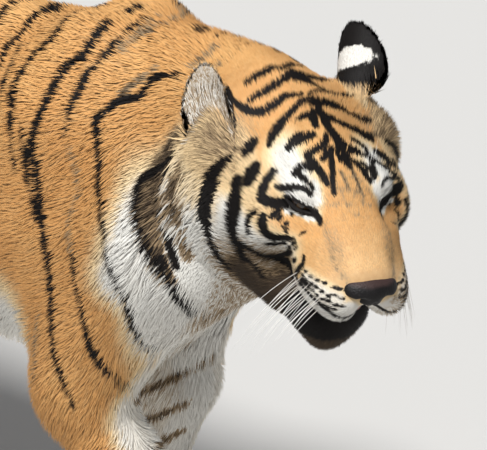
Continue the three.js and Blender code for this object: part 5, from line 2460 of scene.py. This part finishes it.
@dataclass
class Fur:
    """Grows the coat from the skin, piece by piece.

    `sunk` is how deep a root lies in the skin. The markings of a tuft are those of the places
    `near` and `far` along it. On the map for baking a tuft is a `patch` wide, and the charts lie
    a `margin` from their cells' edges.
    """

    skin: Skin
    pattern: Pattern
    sunk: float = 1.2
    near: float = 0.55
    far: float = 0.85
    patch: float = 0.003
    margin: float = 0.01
    HEAD_MIDDLE: ClassVar[tuple] = (-70, 0, -55)

    def __post_init__(self) -> None:
        """Reads the skin's triangles and sorts them into zones."""
        mesh = self.skin.mesh
        mesh.calc_loop_triangles()
        corners = np.empty(len(mesh.loop_triangles) * 3, np.int32)
        mesh.loop_triangles.foreach_get("vertices", corners)
        self.corners = corners.reshape(-1, 3)
        self.points = from_frame(read_points(mesh))
        normals = np.empty(len(mesh.vertices) * 3, np.float32)
        mesh.vertex_normals.foreach_get("vector", normals)
        self.normals = normals.reshape(-1, 3).astype(float)
        a, b, c = (self.points[self.corners[:, k]] for k in range(3))
        self.centres = (a + b + c) / 3
        across = np.cross(b - a, c - a)
        self.facing = unit(across)
        self.areas = length_of(across) / 2
        self.zones = self.sorted_zones()
        self.bare = self.is_bare(self.centres, self.facing)

    def sorted_zones(self) -> Array:
        """Returns the number of each triangle's zone, in the order of the zones.

        Returns:
            The zones' numbers.
        """
        p = self.centres
        h = placed(TO_HEAD, p)
        forward, side, up = -p[:, 1], p[:, 0], p[:, 2]
        shoulder, loin, croup, elbow, stifle = -150, -450, -1075, 430, 520
        _, gap, _ = TAIL.nearest(p)
        head = length_of((h - self.HEAD_MIDDLE) / (1.0, 1.0, 1.05)) < 188
        front = h[:, 0] >= -58
        parts = [
            (Zone.TRUNK_RIGHT, forward <= shoulder),
            (Zone.TRUNK_LEFT, (forward <= shoulder) & (side > 0)),
            (Zone.FORELEG_RIGHT, (forward > loin) & (side < 0) & (up < elbow)),
            (Zone.FORELEG_LEFT, (forward > loin) & (side >= 0) & (up < elbow)),
            (Zone.HINDLEG_RIGHT, (forward <= loin) & (side < 0) & (up < stifle)),
            (Zone.HINDLEG_LEFT, (forward <= loin) & (side >= 0) & (up < stifle)),
            (Zone.TAIL, (gap < 70) & (forward < croup)),
            (Zone.CROWN, head),
            (Zone.CHEEKS, head & ~front & (h[:, 2] < -22)),
            (Zone.FACE, head & front),
        ]
        for hand, ear in BODY.ears.items():
            on_ear = (ear.distance(p) < 1.0) & (ear.own(p)[:, 2] > -26)
            parts.append((Zone["EAR_" + hand.upper()], on_ear))
        found = np.full(len(p), Zone.NECK.number)
        for zone, part in parts:
            found[part] = zone.number
        return found

    @staticmethod
    def is_bare(points: Array, normals: Array) -> Array:
        """Returns where no tuft grows: lids' edges, mouth, under the nose leather and the paws.

        Args:
            points: the places, as rows in the tiger's own frame.
            normals: the skin's outward directions there.

        Returns:
            A row of true and false.
        """
        h = placed(TO_HEAD, points)
        bare = (points[:, 2] < 5) & (normals[:, 2] < -0.6)
        nose = length_of((h - NoseLeather.centre) / (np.array(NoseLeather.radii) + 1.0)) < 1
        mouth = (BODY.mouth.distance(points) < 2.2) & (h[:, 0] > 5) & (h[:, 0] < 130)
        bare |= nose | mouth
        for side, sign in SIDES.items():
            e = placed(TO_EYES[side], points)
            bare |= (EYE.slit(e, sign) < 2.2) & (e[:, 0] > 0) & (length_of(e) < 40)
        return bare

    @staticmethod
    def sizes(points: Array, normals: Array) -> tuple:
        """Returns the length and width of a tuft at each place.

        Args:
            points: the places, as rows in the tiger's own frame.
            normals: the skin's outward directions there.

        Returns:
            The lengths and the widths.
        """
        h = placed(TO_HEAD, points)
        forward, up = -points[:, 1], points[:, 2]
        long = 21.0 - 3.0 * ramp(560, 420, up) - 6.0 * ramp(230, 70, up)
        wide = 2.9 - 0.4 * ramp(560, 420, up) - 0.5 * ramp(230, 70, up)
        under = ramp(600, 540, up) * ramp(0.0, -0.5, normals[:, 2]) * ramp(420, 460, up)
        long += 24.0 * under * ramp(-1000, -850, forward)
        front = ramp(60, 150, forward) * ramp(820, 740, up) * ramp(400, 470, up)
        long += 15.0 * front
        wide -= 0.3 * ramp(-120, 40, forward)
        head = ramp(250, 170, length_of(h - Fur.HEAD_MIDDLE))
        along = (-150, -80, -20, 40, 110)
        face_long = np.interp(h[:, 0], along, (24.0, 16.5, 12.0, 9.5, 6.5))
        face_wide = np.interp(h[:, 0], along, (2.1, 1.75, 1.5, 1.35, 1.1))
        face_long = face_long + 7.0 * ramp(-60, -100, h[:, 2]) * ramp(20, -60, h[:, 0])
        face_long += 9.0 * bump_at(h, (70, 0, -172), (40, 45, 18))
        for sign in SIDES.values():
            ruff = bump_at(h, (-138, sign * 126, -84), (56, 62, 74)) * ramp(-186, -156, h[:, 0])
            face_long = face_long + 28.0 * ruff
            face_wide = face_wide + 0.7 * ruff
        nose = Fur.by_nose(h)
        face_long = face_long + (3.4 - face_long) * nose
        long += (face_long - long) * head
        wide += (face_wide - wide) * head
        for ear in BODY.ears.values():
            near = ramp(8.0, 2.0, ear.distance(points)) * ramp(-30, -10, ear.own(points)[:, 2])
            long += (6.2 - long) * near
            wide += (1.4 - wide) * near
        return long, wide

    @staticmethod
    def by_nose(h: Array) -> Array:
        """Returns 1 at the nose leather's edge and 0 away from it, in the head's frame."""
        return ramp(1.75, 1.1, length_of((h - NoseLeather.centre) / np.array(NoseLeather.radii)))

    @staticmethod
    def lie(points: Array, normals: Array) -> Array:
        """Returns the direction, along the skin, in which the coat lies.

        Args:
            points: the places, as rows in the tiger's own frame.
            normals: the skin's outward directions there.

        Returns:
            The directions, one long.
        """
        h = placed(TO_HEAD, points)
        forward, up = -points[:, 1], points[:, 2]
        leg = ramp(640, 460, up)[:, None]
        toes = ramp(95, 45, up)[:, None]
        chest = (ramp(-40, 120, forward) * ramp(950, 830, up))[:, None]
        way = np.array([(0.0, 1.0, -0.42)]) * (1 - leg) + np.array([(0.0, 0.22, -1.0)]) * leg
        way = way * (1 - chest) + np.array([(0.0, 0.55, -1.0)]) * chest
        way = way * (1 - toes) + np.array([(0.0, -1.0, -0.5)]) * toes
        away = unit(h - (165.0, 0.0, -64.0))
        away[:, 2] -= 2.3 * ramp(-60, -140, h[:, 0]) * ramp(30, -40, h[:, 2])
        head = ramp(330, 190, length_of(h - (-60, 0, -55)))[:, None]
        way = unit(way) * (1 - head) + unit(away) @ HEAD[:3, :3].T * head
        _, gap, direction = TAIL.nearest(points)
        tail = (ramp(90, 60, gap) * ramp(-1040, -1100, forward))[:, None]
        way = way * (1 - tail) + direction * tail
        for ear in BODY.ears.values():
            q = ear.own(points)
            near = (ramp(9.0, 3.0, ear.distance(points)) * ramp(-36, -14, q[:, 2]))[:, None]
            outward = ear.frame[:3, 1] * np.sign(q[:, 1:2]) * 0.12
            way = way * (1 - near) + (ear.frame[:3, 2] + outward) * near
        way -= normals * dot(way, normals)[:, None]
        return unit(way)

    def roots(self, zone: Zone, count: int, rng: np.random.Generator) -> Roots:
        """Returns the places of a zone's tufts.

        Args:
            zone: the piece of coat.
            count: how many tufts it has.
            rng: the seeded random source.

        Returns:
            The roots, with their lie and size.
        """
        if zone is Zone.EAR_HAIR:
            on = np.isin(self.zones, (Zone.EAR_RIGHT.number, Zone.EAR_LEFT.number))
            on &= self.in_ear(self.centres, self.facing)
        else:
            on = (self.zones == zone.number) & ~self.bare
        chosen = on.nonzero()[0]
        long, wide = self.sizes(self.centres[chosen], self.facing[chosen])
        weight = np.cumsum(self.areas[chosen] / (long * wide))
        spread = (np.arange(count) + rng.random(count)) / count * weight[-1]
        picked = chosen[np.searchsorted(weight, spread).clip(0, len(chosen) - 1)]
        u, v = rng.random(count), rng.random(count)
        flip = u + v > 1
        u, v = np.where(flip, 1 - u, u), np.where(flip, 1 - v, v)
        share = np.stack([1 - u - v, u, v], axis=1)[:, :, None]
        points = (self.points[self.corners[picked]] * share).sum(axis=1)
        normals = unit((self.normals[self.corners[picked]] * share).sum(axis=1))
        ways = self.lie(points, normals)
        long, wide = self.sizes(points, normals)
        rises = 0.9 * BODY.depth(points) * (1 - 0.75 * self.by_nose(placed(TO_HEAD, points)))
        for ear in BODY.ears.values():
            rises = np.where(ear.distance(points) < 4, 2.4, rises)
        if zone is Zone.EAR_HAIR:
            long, wide = long * 0 + rng.uniform(18, 36, count), wide * 0 + 0.8
            edges = [
                np.abs(ear.own(points)[:, 1]) / (ear.width / 2) * (ear.distance(points) < 4)
                for ear in BODY.ears.values()
            ]
            edge = np.max(edges, axis=0)
            long = long * (1 - 0.72 * ramp(0.45, 0.8, edge))
            rises = long * 0.24
        if zone is Zone.CHEEKS:
            smooth = unit(points - placed(HEAD, np.array((-100.0, 0.0, -60.0))))
            agree = dot(self.lie(points, smooth), ways)
            long = long * (0.3 + 0.7 * ramp(0.72, 0.90, agree))
        turn = 0.20 * ripple(points, 34.0, 3) + rng.normal(0, 0.13, count)
        sides = np.cross(normals, ways)
        ways = ways * np.cos(turn)[:, None] + sides * np.sin(turn)[:, None]
        long = long * rng.uniform(0.72, 1.15, count)
        return Roots(points, normals, ways, long, wide * rng.uniform(0.75, 1.2, count), rises)

    @staticmethod
    def in_ear(points: Array, normals: Array) -> Array:
        """Returns where the long pale hair inside the ears grows.

        Args:
            points: the places, as rows in the tiger's own frame.
            normals: the skin's outward directions there.

        Returns:
            A row of true and false.
        """
        inside = np.zeros(len(points), bool)
        for ear in BODY.ears.values():
            q = ear.own(points)
            faces = normals @ ear.frame[:3, 0] > 0.1
            inside |= (ear.distance(points) < 2) & faces & (q[:, 2] < 14) & (q[:, 2] > -40)
        return inside

    def grow(self, zone: Zone) -> Object:
        """Returns a zone's coat as one piece of joined tufts.

        Args:
            zone: the piece of coat.

        Returns:
            The new object, with its markings and its map for baking.
        """
        name, count, bent = zone.value
        rng = np.random.default_rng(100 + zone.number)
        roots = self.roots(zone, count, rng)
        corners, faces = (Tuft.BENT if bent else Tuft.SPIKE).value
        corners, faces = np.array(corners, float), np.array(faces)
        lift = np.clip(roots.rises / roots.lengths, 0.10, 0.30 if bent else 0.62)
        lift = lift * rng.uniform(0.6, 1.15, count)
        flat = np.sqrt(1 - lift**2)
        along = roots.ways * flat[:, None] + roots.normals * lift[:, None]
        sides = np.cross(roots.normals, roots.ways)
        points = (roots.points - roots.normals * self.sunk)[:, None, :]
        for way, k, sizes in (
            (along, 0, roots.lengths),
            (sides, 1, roots.widths / 2),
            (roots.normals, 2, roots.widths / 2),
        ):
            points = points + way[:, None, :] * (corners[:, k] * sizes[:, None])[:, :, None]
        if bent:
            bow = (4 * corners[:, 0] * (1 - corners[:, 0]))[None, :] * roots.lengths[:, None] * 0.13
            points = points + roots.normals[:, None, :] * bow[:, :, None]
            sag = (corners[:, 0] ** 2)[None, :] * roots.lengths[:, None]
            sag = sag * rng.uniform(0.0, 0.22, (count, 1))
            points[:, :, 2] -= sag
        points[:, :, 2] = np.maximum(points[:, :, 2], 0.4)
        size = len(corners)
        all_faces = (faces[None, :, :] + (np.arange(count) * size)[:, None, None]).reshape(-1, 3)
        mesh = mesh_of(name, points.reshape(-1, 3), all_faces)
        self.colour(mesh, zone, roots, corners, rng)
        self.map_for_baking(mesh, roots, corners, all_faces)
        lean = sides[:, None, :] * (corners[:, 1] * 0.42)[None, :, None]
        tilt = along[:, None, :] * (corners[:, 0] * 0.25)[None, :, None]
        normals = unit((roots.normals[:, None, :] + lean + tilt).reshape(-1, 3))
        mesh.normals_split_custom_set_from_vertices(normals.astype(np.float32))
        return object_from(name, mesh)

    def colour(
        self,
        mesh: Mesh,
        zone: Zone,
        roots: Roots,
        corners: Array,
        rng: np.random.Generator,
    ) -> None:
        """Stores the markings and painted shade on the tufts, as they are where the far half of
        each tuft lies.

        Args:
            mesh: the tufts.
            zone: their piece of coat.
            roots: their places.
            corners: the tuft's corners.
            rng: the seeded random source.
        """
        size, count = len(corners), len(roots.points)
        near = roots.points + roots.ways * (self.near * roots.lengths)[:, None]
        far = roots.points + roots.ways * (self.far * roots.lengths)[:, None]
        near_edge, near_dusk = self.pattern.stripe(near)
        far_edge, far_dusk = self.pattern.stripe(far)
        pale = self.pattern.pale((near + far) / 2, roots.normals)
        if zone is Zone.EAR_HAIR:
            near_edge = far_edge = np.full(count, NO_MARK)
            near_dusk = far_dusk = rng.uniform(0.0, 0.75, count)
            pale = rng.uniform(0.8, 1.0, count)
        share = corners[:, 0] ** 0.5
        edge = near_edge[:, None] * (1 - share) + far_edge[:, None] * share
        dusk = near_dusk[:, None] * (1 - share) + far_dusk[:, None] * share
        tone = rng.random(count)
        put_values(mesh, stripe=edge.ravel(), dusk=dusk.ravel(), tip=np.tile(corners[:, 0], count))
        put_values(mesh, pale=np.repeat(pale, size), tone=np.repeat(tone, size))

    def map_for_baking(
        self, mesh: Mesh, roots: Roots, corners: Array, faces: Array
    ) -> None:
        """Adds the map where each tuft is a small patch at its root's place on the unwrapped skin.

        Args:
            mesh: the tufts.
            roots: their places.
            corners: the tuft's corners.
            faces: all the tufts' faces.
        """
        points, normals = roots.points, roots.normals
        low = points.min(axis=0)
        span = np.maximum(points.max(axis=0) - low, 1.0)
        share = (points - low) / span
        axis = np.abs(normals).argmax(axis=1)
        rows = np.arange(len(points))
        chart = axis * 2 + (normals[rows, axis] > 0)
        u, v = share[rows, (axis + 1) % 3], share[rows, (axis + 2) % 3]
        room = np.array((1 / 3, 1 / 2)) - 2 * self.margin - self.patch
        corner = np.stack([(chart % 3) / 3 + self.margin, (chart // 3) / 2 + self.margin], axis=1)
        home = corner + np.stack([u, v], axis=1) * room
        patch = np.stack([(corners[:, 1] + 1) / 2, corners[:, 0]], axis=1) * self.patch
        places = (home[:, None, :] + patch[None, :, :]).reshape(-1, 2)
        layer = mesh.uv_layers.new(name="OFBake")
        layer.data.foreach_set("uv", places[faces.ravel()].astype(np.float32).ravel())


# ----------------------------------------------------------------------------- face pieces
def ball(base: Array, centre: Sequence[float], radii: Sequence[float], rings: int) -> BMesh:
    """Returns a fine ball in the tiger's own frame, with its pole along x of its frame.

    Args:
        base: the frame that holds it.
        centre: its centre in that frame.
        radii: its half sizes.
        rings: how many rings of faces it has.

    Returns:
        The ball.
    """
    bm = bmesh.new()
    bmesh.ops.create_uvsphere(bm, u_segments=rings * 2, v_segments=rings, radius=1.0)
    bmesh.ops.rotate(bm, verts=bm.verts, matrix=Matrix.Rotation(math.radians(90), 3, "Y"))
    bmesh.ops.scale(bm, verts=bm.verts, vec=radii)
    bmesh.ops.translate(bm, verts=bm.verts, vec=centre)
    bmesh.ops.transform(bm, verts=bm.verts, matrix=Matrix(base))
    return bm


@dataclass
class Eyeball:
    """One eye: a ball with its iris turned to where the tiger looks, and a bulging cornea."""

    side: str
    rings: int = 40
    look_out: float = 24.0
    look_down: float = 5.0
    under_lid: float = 0.3
    iris: float = 9.6
    bulge: float = 1.1

    def build(self) -> Object:
        """Returns the eye.

        Returns:
            The new object.
        """
        sign = SIDES[self.side]
        x, y, z = EYE.centre
        turn = turned("Z", sign * self.look_out) @ turned("Y", self.look_down)
        gaze = HEAD @ moved(x, sign * y, z) @ turn
        size = EYE.radius - self.under_lid
        bm = ball(gaze, (0, 0, 0), (size, size, size), self.rings)
        mesh = mesh_from("eyeball_" + self.side, bm)
        points = read_points(mesh)
        q = placed(np.linalg.inv(gaze), points)
        reach = np.hypot(q[:, 1], q[:, 2])
        front = q[:, 0] > 0
        points += gaze[:3, 0] * (self.bulge * ramp(self.iris + 1.5, 2.0, reach) * front)[:, None]
        write_points(mesh, to_frame(points))
        put_values(mesh, gaze=np.where(front, reach, 2 * EYE.radius))
        return smooth_object(mesh)


@dataclass
class NoseLeather:
    """The bare nose: a broad pad with two comma-shaped nostrils and the groove between them."""

    centre: tuple = (105.0, 0.0, -56.0)
    radii: tuple = (25.0, 36.0, 20.0)
    rings: int = 56
    nostril: tuple = (121.0, 15.5, -60.0)
    wing: tuple = (112.0, 27.0, -61.0)

    def build(self) -> Object:
        """Returns the nose leather.

        Returns:
            The new object.
        """
        mesh = mesh_from("nose_pad", ball(HEAD, self.centre, self.radii, self.rings))
        h = placed(TO_HEAD, read_points(mesh))
        height = h[:, 2] - self.centre[2]
        narrow = np.maximum(1 + 0.030 * height, 0.42)
        h[:, 1] *= np.where(height < 0, narrow, 1 + 0.006 * height)
        side = folded(h)
        hole = bump_at(side, self.nostril, (16, 6.5, 5.5))
        slit = bump_at(side, self.wing, (16, 8.5, 3.0))
        deep = np.maximum(hole * 9.0, slit * 5.5)
        groove = np.exp(-((h[:, 1] / 2.2) ** 2)) * ramp(-2, -9, height) * 3.2
        crest = np.exp(-((h[:, 1] / 13.0) ** 2)) * ramp(-6, 8, height) * 1.4
        rim = bump_at(side, (118, 22, -53), (16, 11, 4)) * 1.6
        h[:, 0] += (crest + rim - deep - groove) * ramp(85, 100, h[:, 0])
        rose = ramp(11.0, 19.0, height + 0.10 * side[:, 1]) - deep * 0.4
        write_points(mesh, to_frame(placed(HEAD, h)))
        put_values(mesh, rose=np.clip(rose, 0, 1))
        return smooth_object(mesh)


@dataclass
class Tongue:
    """The tongue, which lies between the lips, with the dip down its middle."""

    centre: tuple = (40.0, 0.0, -101.0)
    radii: tuple = (45.0, 24.5, 8.8)
    pitch: float = 7.0
    rings: int = 32

    def build(self) -> Object:
        """Returns the tongue.

        Returns:
            The new object.
        """
        base = HEAD @ moved(*self.centre) @ turned("Y", self.pitch)
        mesh = mesh_from("tongue_body", ball(base, (0, 0, 0), self.radii, self.rings))
        q = placed(np.linalg.inv(base), read_points(mesh))
        dip = 2.2 * np.exp(-((q[:, 1] / 5.0) ** 2)) * (q[:, 2] > 0)
        q[:, 2] -= dip * ramp(45, 20, np.abs(q[:, 0]))
        write_points(mesh, to_frame(placed(base, q)))
        return smooth_object(mesh)


@dataclass
class Strands:
    """Tapered, bending hairs such as whiskers, joined in one mesh."""

    rings: int = 12
    sides: int = 5
    points: list = field(default_factory=list)
    faces: list = field(default_factory=list)
    tips: list = field(default_factory=list)
    count: int = 0

    def add(self, path: Array, radius: float) -> None:
        """Adds a hair along a path, thick at its root and pointed at its end.

        Args:
            path: its points, evenly along it.
            radius: its radius at the root.
        """
        ways = unit(np.gradient(path, axis=0))
        across = unit(np.cross(ways, np.array([(0.12, 0.2, 1.0)])))
        over = np.cross(ways, across)
        rings = len(path)
        angles = np.arange(self.sides) * 2 * math.pi / self.sides
        share = np.linspace(0, 1, rings)
        size = radius * (1 - share) ** 0.7 + 0.02
        circle = across[:, None, :] * np.cos(angles)[None, :, None]
        circle = circle + over[:, None, :] * np.sin(angles)[None, :, None]
        body = (path[:, None, :] + circle * size[:, None, None]).reshape(-1, 3)
        start = self.count
        ring = np.arange(self.sides)
        ahead = (ring + 1) % self.sides
        made = []
        for i in range(rings - 1):
            low, high = start + i * self.sides, start + (i + 1) * self.sides
            made.append(np.stack([low + ring, low + ahead, high + ahead], axis=1))
            made.append(np.stack([low + ring, high + ahead, high + ring], axis=1))
        root, end = start + rings * self.sides, start + rings * self.sides + 1
        last = start + (rings - 1) * self.sides
        made.append(np.stack([np.full(self.sides, root), start + ahead, start + ring], axis=1))
        made.append(np.stack([np.full(self.sides, end), last + ring, last + ahead], axis=1))
        self.points.append(np.vstack([body, path[:1], path[-1:]]))
        self.faces.append(np.vstack(made))
        self.tips.append(np.concatenate([np.repeat(share, self.sides), (0.0, 1.0)]))
        self.count += len(body) + 2

    def build(self, name: str) -> Object:
        """Returns the hairs as one object.

        Args:
            name: the object's name.

        Returns:
            The new object.
        """
        mesh = mesh_of(name, np.vstack(self.points), np.vstack(self.faces))
        with edited(mesh) as bm:
            bmesh.ops.recalc_face_normals(bm, faces=bm.faces)
        put_values(mesh, tip=np.concatenate(self.tips))
        return smooth_object(mesh)


@dataclass
class Whiskers:
    """The whiskers of one side: four rows on the pad, and a few over the eye."""

    side: str
    rows: tuple = ((-66.0, 5), (-73.0, 6), (-80.0, 6), (-87.0, 5))
    front: float = 98.0
    back: float = 48.0
    longest: float = 118.0
    shortest: float = 60.0
    radius: float = 0.62
    brow_radius: float = 0.20
    beside: float = 200.0
    above: float = 90.0
    proud: float = 16.0

    def build(self, surface: BVHTree) -> Object:
        """Returns the whiskers, rooted in the skin.

        Args:
            surface: the skin.

        Returns:
            The new object.
        """
        sign = SIDES[self.side]
        rng = np.random.default_rng(7 if sign > 0 else 8)
        strands = Strands()
        for height, number in self.rows:
            for i in range(number):
                share = i / (number - 1)
                x = self.front + (self.back - self.front) * share + rng.uniform(-2, 2)
                length = self.shortest + (self.longest - self.shortest) * share**0.8
                length *= rng.uniform(0.8, 1.1)
                spot = (x, sign * self.beside, height)
                way = (-0.22 - 0.25 * share, sign * (0.46 - 0.08 * share), -0.80 - 0.1 * share)
                self.hair(strands, surface, spot, way, length, rng)
        for i in range(4):
            spot = (-26.0 - 7 * i, sign * (40.0 + 7 * i), self.above)
            way = (-0.62 - 0.05 * i, sign * (0.35 + 0.06 * i), 0.40)
            self.hair(strands, surface, spot, way, rng.uniform(26, 40), rng, self.brow_radius)
        return strands.build("whiskers_" + self.side)

    def hair(
        self,
        strands: Strands,
        surface: BVHTree,
        spot: tuple,
        way: tuple,
        length: float,
        rng: np.random.Generator,
        radius: float = 0.0,
    ) -> None:
        """Adds one whisker, if its root finds the skin.

        Args:
            strands: the mesh that it joins.
            surface: the skin.
            spot: where the line to its root starts, in the head's frame.
            way: the way it grows, in the head's frame.
            length: its length.
            rng: the seeded random source.
            radius: its radius at the root, or 0 for the usual one.
        """
        over = spot[2] == self.above
        aim = (0, 0, -1.0) if over else (0, -math.copysign(1.0, spot[1]), 0)
        hit = surface.ray_cast(Vector(placed(HEAD, np.array(spot))), Vector(HEAD[:3, :3] @ aim))[0]
        if hit is None:
            return
        heading = HEAD[:3, :3] @ (np.array(way) + rng.normal(0, 0.06, 3))
        heading /= np.linalg.norm(heading)
        root = np.array(hit) - heading * 2.0
        share = np.linspace(0, 1, strands.rings)[:, None]
        droop = np.array((0, 0, -1.0)) * (0.05 if over else rng.uniform(0.16, 0.30))
        path = root + (heading * share + droop * share**2) * length
        past = np.abs(path[:, 0] + SHIFT[0]) - BOX_SIDE - self.proud
        inward = np.array((-math.copysign(1.0, path[-1, 0]), 0, 0))
        path += inward * np.maximum(past, 0)[:, None]
        strands.add(path, radius or self.radius * rng.uniform(0.75, 1.1))


@dataclass
class Claws:
    """The tips of a paw's claws, which show a little between the toes' fur."""

    name: str
    length: float = 17.0
    radius: float = 3.1

    def build(self) -> Object:
        """Returns the paw's four claw tips.

        Returns:
            The new object.
        """
        base = paw_frame(self.name)
        half = PAW_HALF_WIDTH * PAW_SIZE[self.name[:4]]
        strands = Strands()
        for toe in TOES:
            reach = 78.0 if abs(toe) < 1 else 64.0
            share = np.linspace(0, 1, 8)[:, None]
            start = np.array((reach, toe * half * 0.56, 30.0))
            end = start + np.array((self.length, toe * 1.2, -15.0))
            path = start + (end - start) * share
            path = path + np.array((3.0, 0, 3.4)) * (4 * share * (1 - share))
            strands.add(placed(base, path), self.radius)
        return strands.build("claws_" + self.name)


@dataclass
class Studio:
    """The pale floor, the soft lights and the camera.

    The camera stands `distance` metres from its target, which lies `aim` right of the head's
    middle and above it. Each sun has a name, the way to it, its power and its spread in degrees.
    """

    distance: float = 5.5
    azimuth: float = -52.0
    elevation: float = 25.0
    lens: float = 334.0
    aim: tuple = (-120.3, -31.2)
    floor_size: float = 14.0
    floor_colour: tuple = (0.56, 0.55, 0.53, 1)
    sky_colour: tuple = (0.86, 0.89, 0.94, 1)
    sky_power: float = 0.30
    suns: tuple = (
        ("key", (-0.56, -0.08, 1.0), 4.35, 14.0),
        ("front", (-0.45, -1.0, 0.55), 0.25, 60.0),
    )

    def build(self) -> None:
        """Makes the floor, lights and camera."""
        bm = bmesh.new()
        bmesh.ops.create_grid(bm, x_segments=1, y_segments=1, size=self.floor_size)
        mesh = mesh_from("floor", bm)
        floor = object_from("floor", mesh)
        material = bpy.data.materials.new("pale_floor")
        material.use_nodes = True
        shader = material.node_tree.nodes["Principled BSDF"]
        shader.inputs["Base Color"].default_value = self.floor_colour
        mesh.materials.append(material)
        self.camera()
        world = bpy.data.worlds.new("studio")
        world.use_nodes = True
        sky = world.node_tree.nodes["Background"]
        sky.inputs["Color"].default_value = self.sky_colour
        sky.inputs["Strength"].default_value = self.sky_power
        bpy.context.scene.world = world
        bpy.context.scene.view_settings.view_transform = "Standard"
        for name, place, power, spread in self.suns:
            data = bpy.data.lights.new(name, "SUN")
            data.angle = math.radians(spread)
            data.energy = power
            light = bpy.data.objects.new(name, data)
            light.location = place
            light.rotation_mode = "QUATERNION"
            light.rotation_quaternion = Vector(place).to_track_quat("Z", "Y")
            bpy.context.scene.collection.objects.link(light)

    def camera(self) -> None:
        """Makes the camera, aimed at the head."""
        a, e = math.radians(self.azimuth), math.radians(self.elevation)
        right = Vector((math.cos(a), math.sin(a), 0))
        up = Vector((-math.sin(a) * math.sin(e), math.cos(a) * math.sin(e), math.cos(e)))
        back = Vector((math.sin(a) * math.cos(e), -math.cos(a) * math.cos(e), math.sin(e)))
        head = Vector(to_frame(HEAD[:3, 3]))
        target = head + (right * self.aim[0] + up * self.aim[1]) * MM
        data = bpy.data.cameras.new("camera")
        data.lens = self.lens
        data.sensor_width = 36.0
        data.clip_end = 100.0
        camera = bpy.data.objects.new("camera", data)
        camera.location = target + back * self.distance
        camera.rotation_mode = "QUATERNION"
        camera.rotation_quaternion = back.to_track_quat("Z", "Y")
        bpy.context.scene.collection.objects.link(camera)
        bpy.context.scene.camera = camera


def attach(piece: Object, material: Material) -> None:
    """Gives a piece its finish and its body.

    Args:
        piece: the piece.
        material: the finish.
    """
    piece.data.materials.append(material)
    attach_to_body(piece, "root")
    LOG.info("%s: %d faces", piece.name, len(piece.data.polygons))


class Tiger:
    """The whole animal."""

    def build(self) -> None:
        """Builds the skin, the coat and the pieces of the face and paws."""
        skin = Skin()
        surface = skin.surface()
        pattern = Pattern(surface)
        fur = Fur(skin, pattern)
        self.mark_skin(skin, fur, pattern)
        colours = CoatColours()
        attach(skin.object, colours.material("coat_skin", False))
        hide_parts(*FLESH)
        tufts = colours.material("coat_tufts", True)
        for zone in Zone:
            attach(fur.grow(zone), tufts)
        eye = EyeColours().material()
        for side in SIDES:
            piece = Eyeball(side).build()
            attach(piece, eye)
            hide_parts("eye_" + side)
        nose = NoseLeather().build()
        attach(nose, NoseColours().material())
        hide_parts("nose_leather")
        tongue = Tongue().build()
        attach(tongue, TongueColours().material())
        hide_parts("tongue")
        white = HornColours().material("whisker_hair")
        for side in SIDES:
            attach(Whiskers(side).build(surface), white)
        horn = HornColours((0.10, 0.075, 0.06), (0.42, 0.36, 0.29)).material("claw_horn")
        for name in STANCE:
            attach(Claws(name).build(), horn)

    @staticmethod
    def mark_skin(skin: Skin, fur: Fur, pattern: Pattern) -> None:
        """Stores the markings and painted shade on the skin's vertices.

        Args:
            skin: the skin.
            fur: the coat, which holds the skin's vertices.
            pattern: the markings.
        """
        edge, dusk = pattern.stripe(fur.points)
        pale = pattern.pale(fur.points, fur.normals)
        tone = np.random.default_rng(5).random(len(fur.points))
        put_values(skin.mesh, stripe=edge, dusk=dusk, pale=pale, tone=tone)
        put_values(skin.mesh, gum=pattern.gum(fur.points))


def main() -> None:
    """Builds every piece and the studio."""
    logging.basicConfig(level=logging.INFO, format="%(message)s")
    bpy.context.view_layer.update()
    Tiger().build()
    Studio().build()


if __name__ == "__main__":
    main()
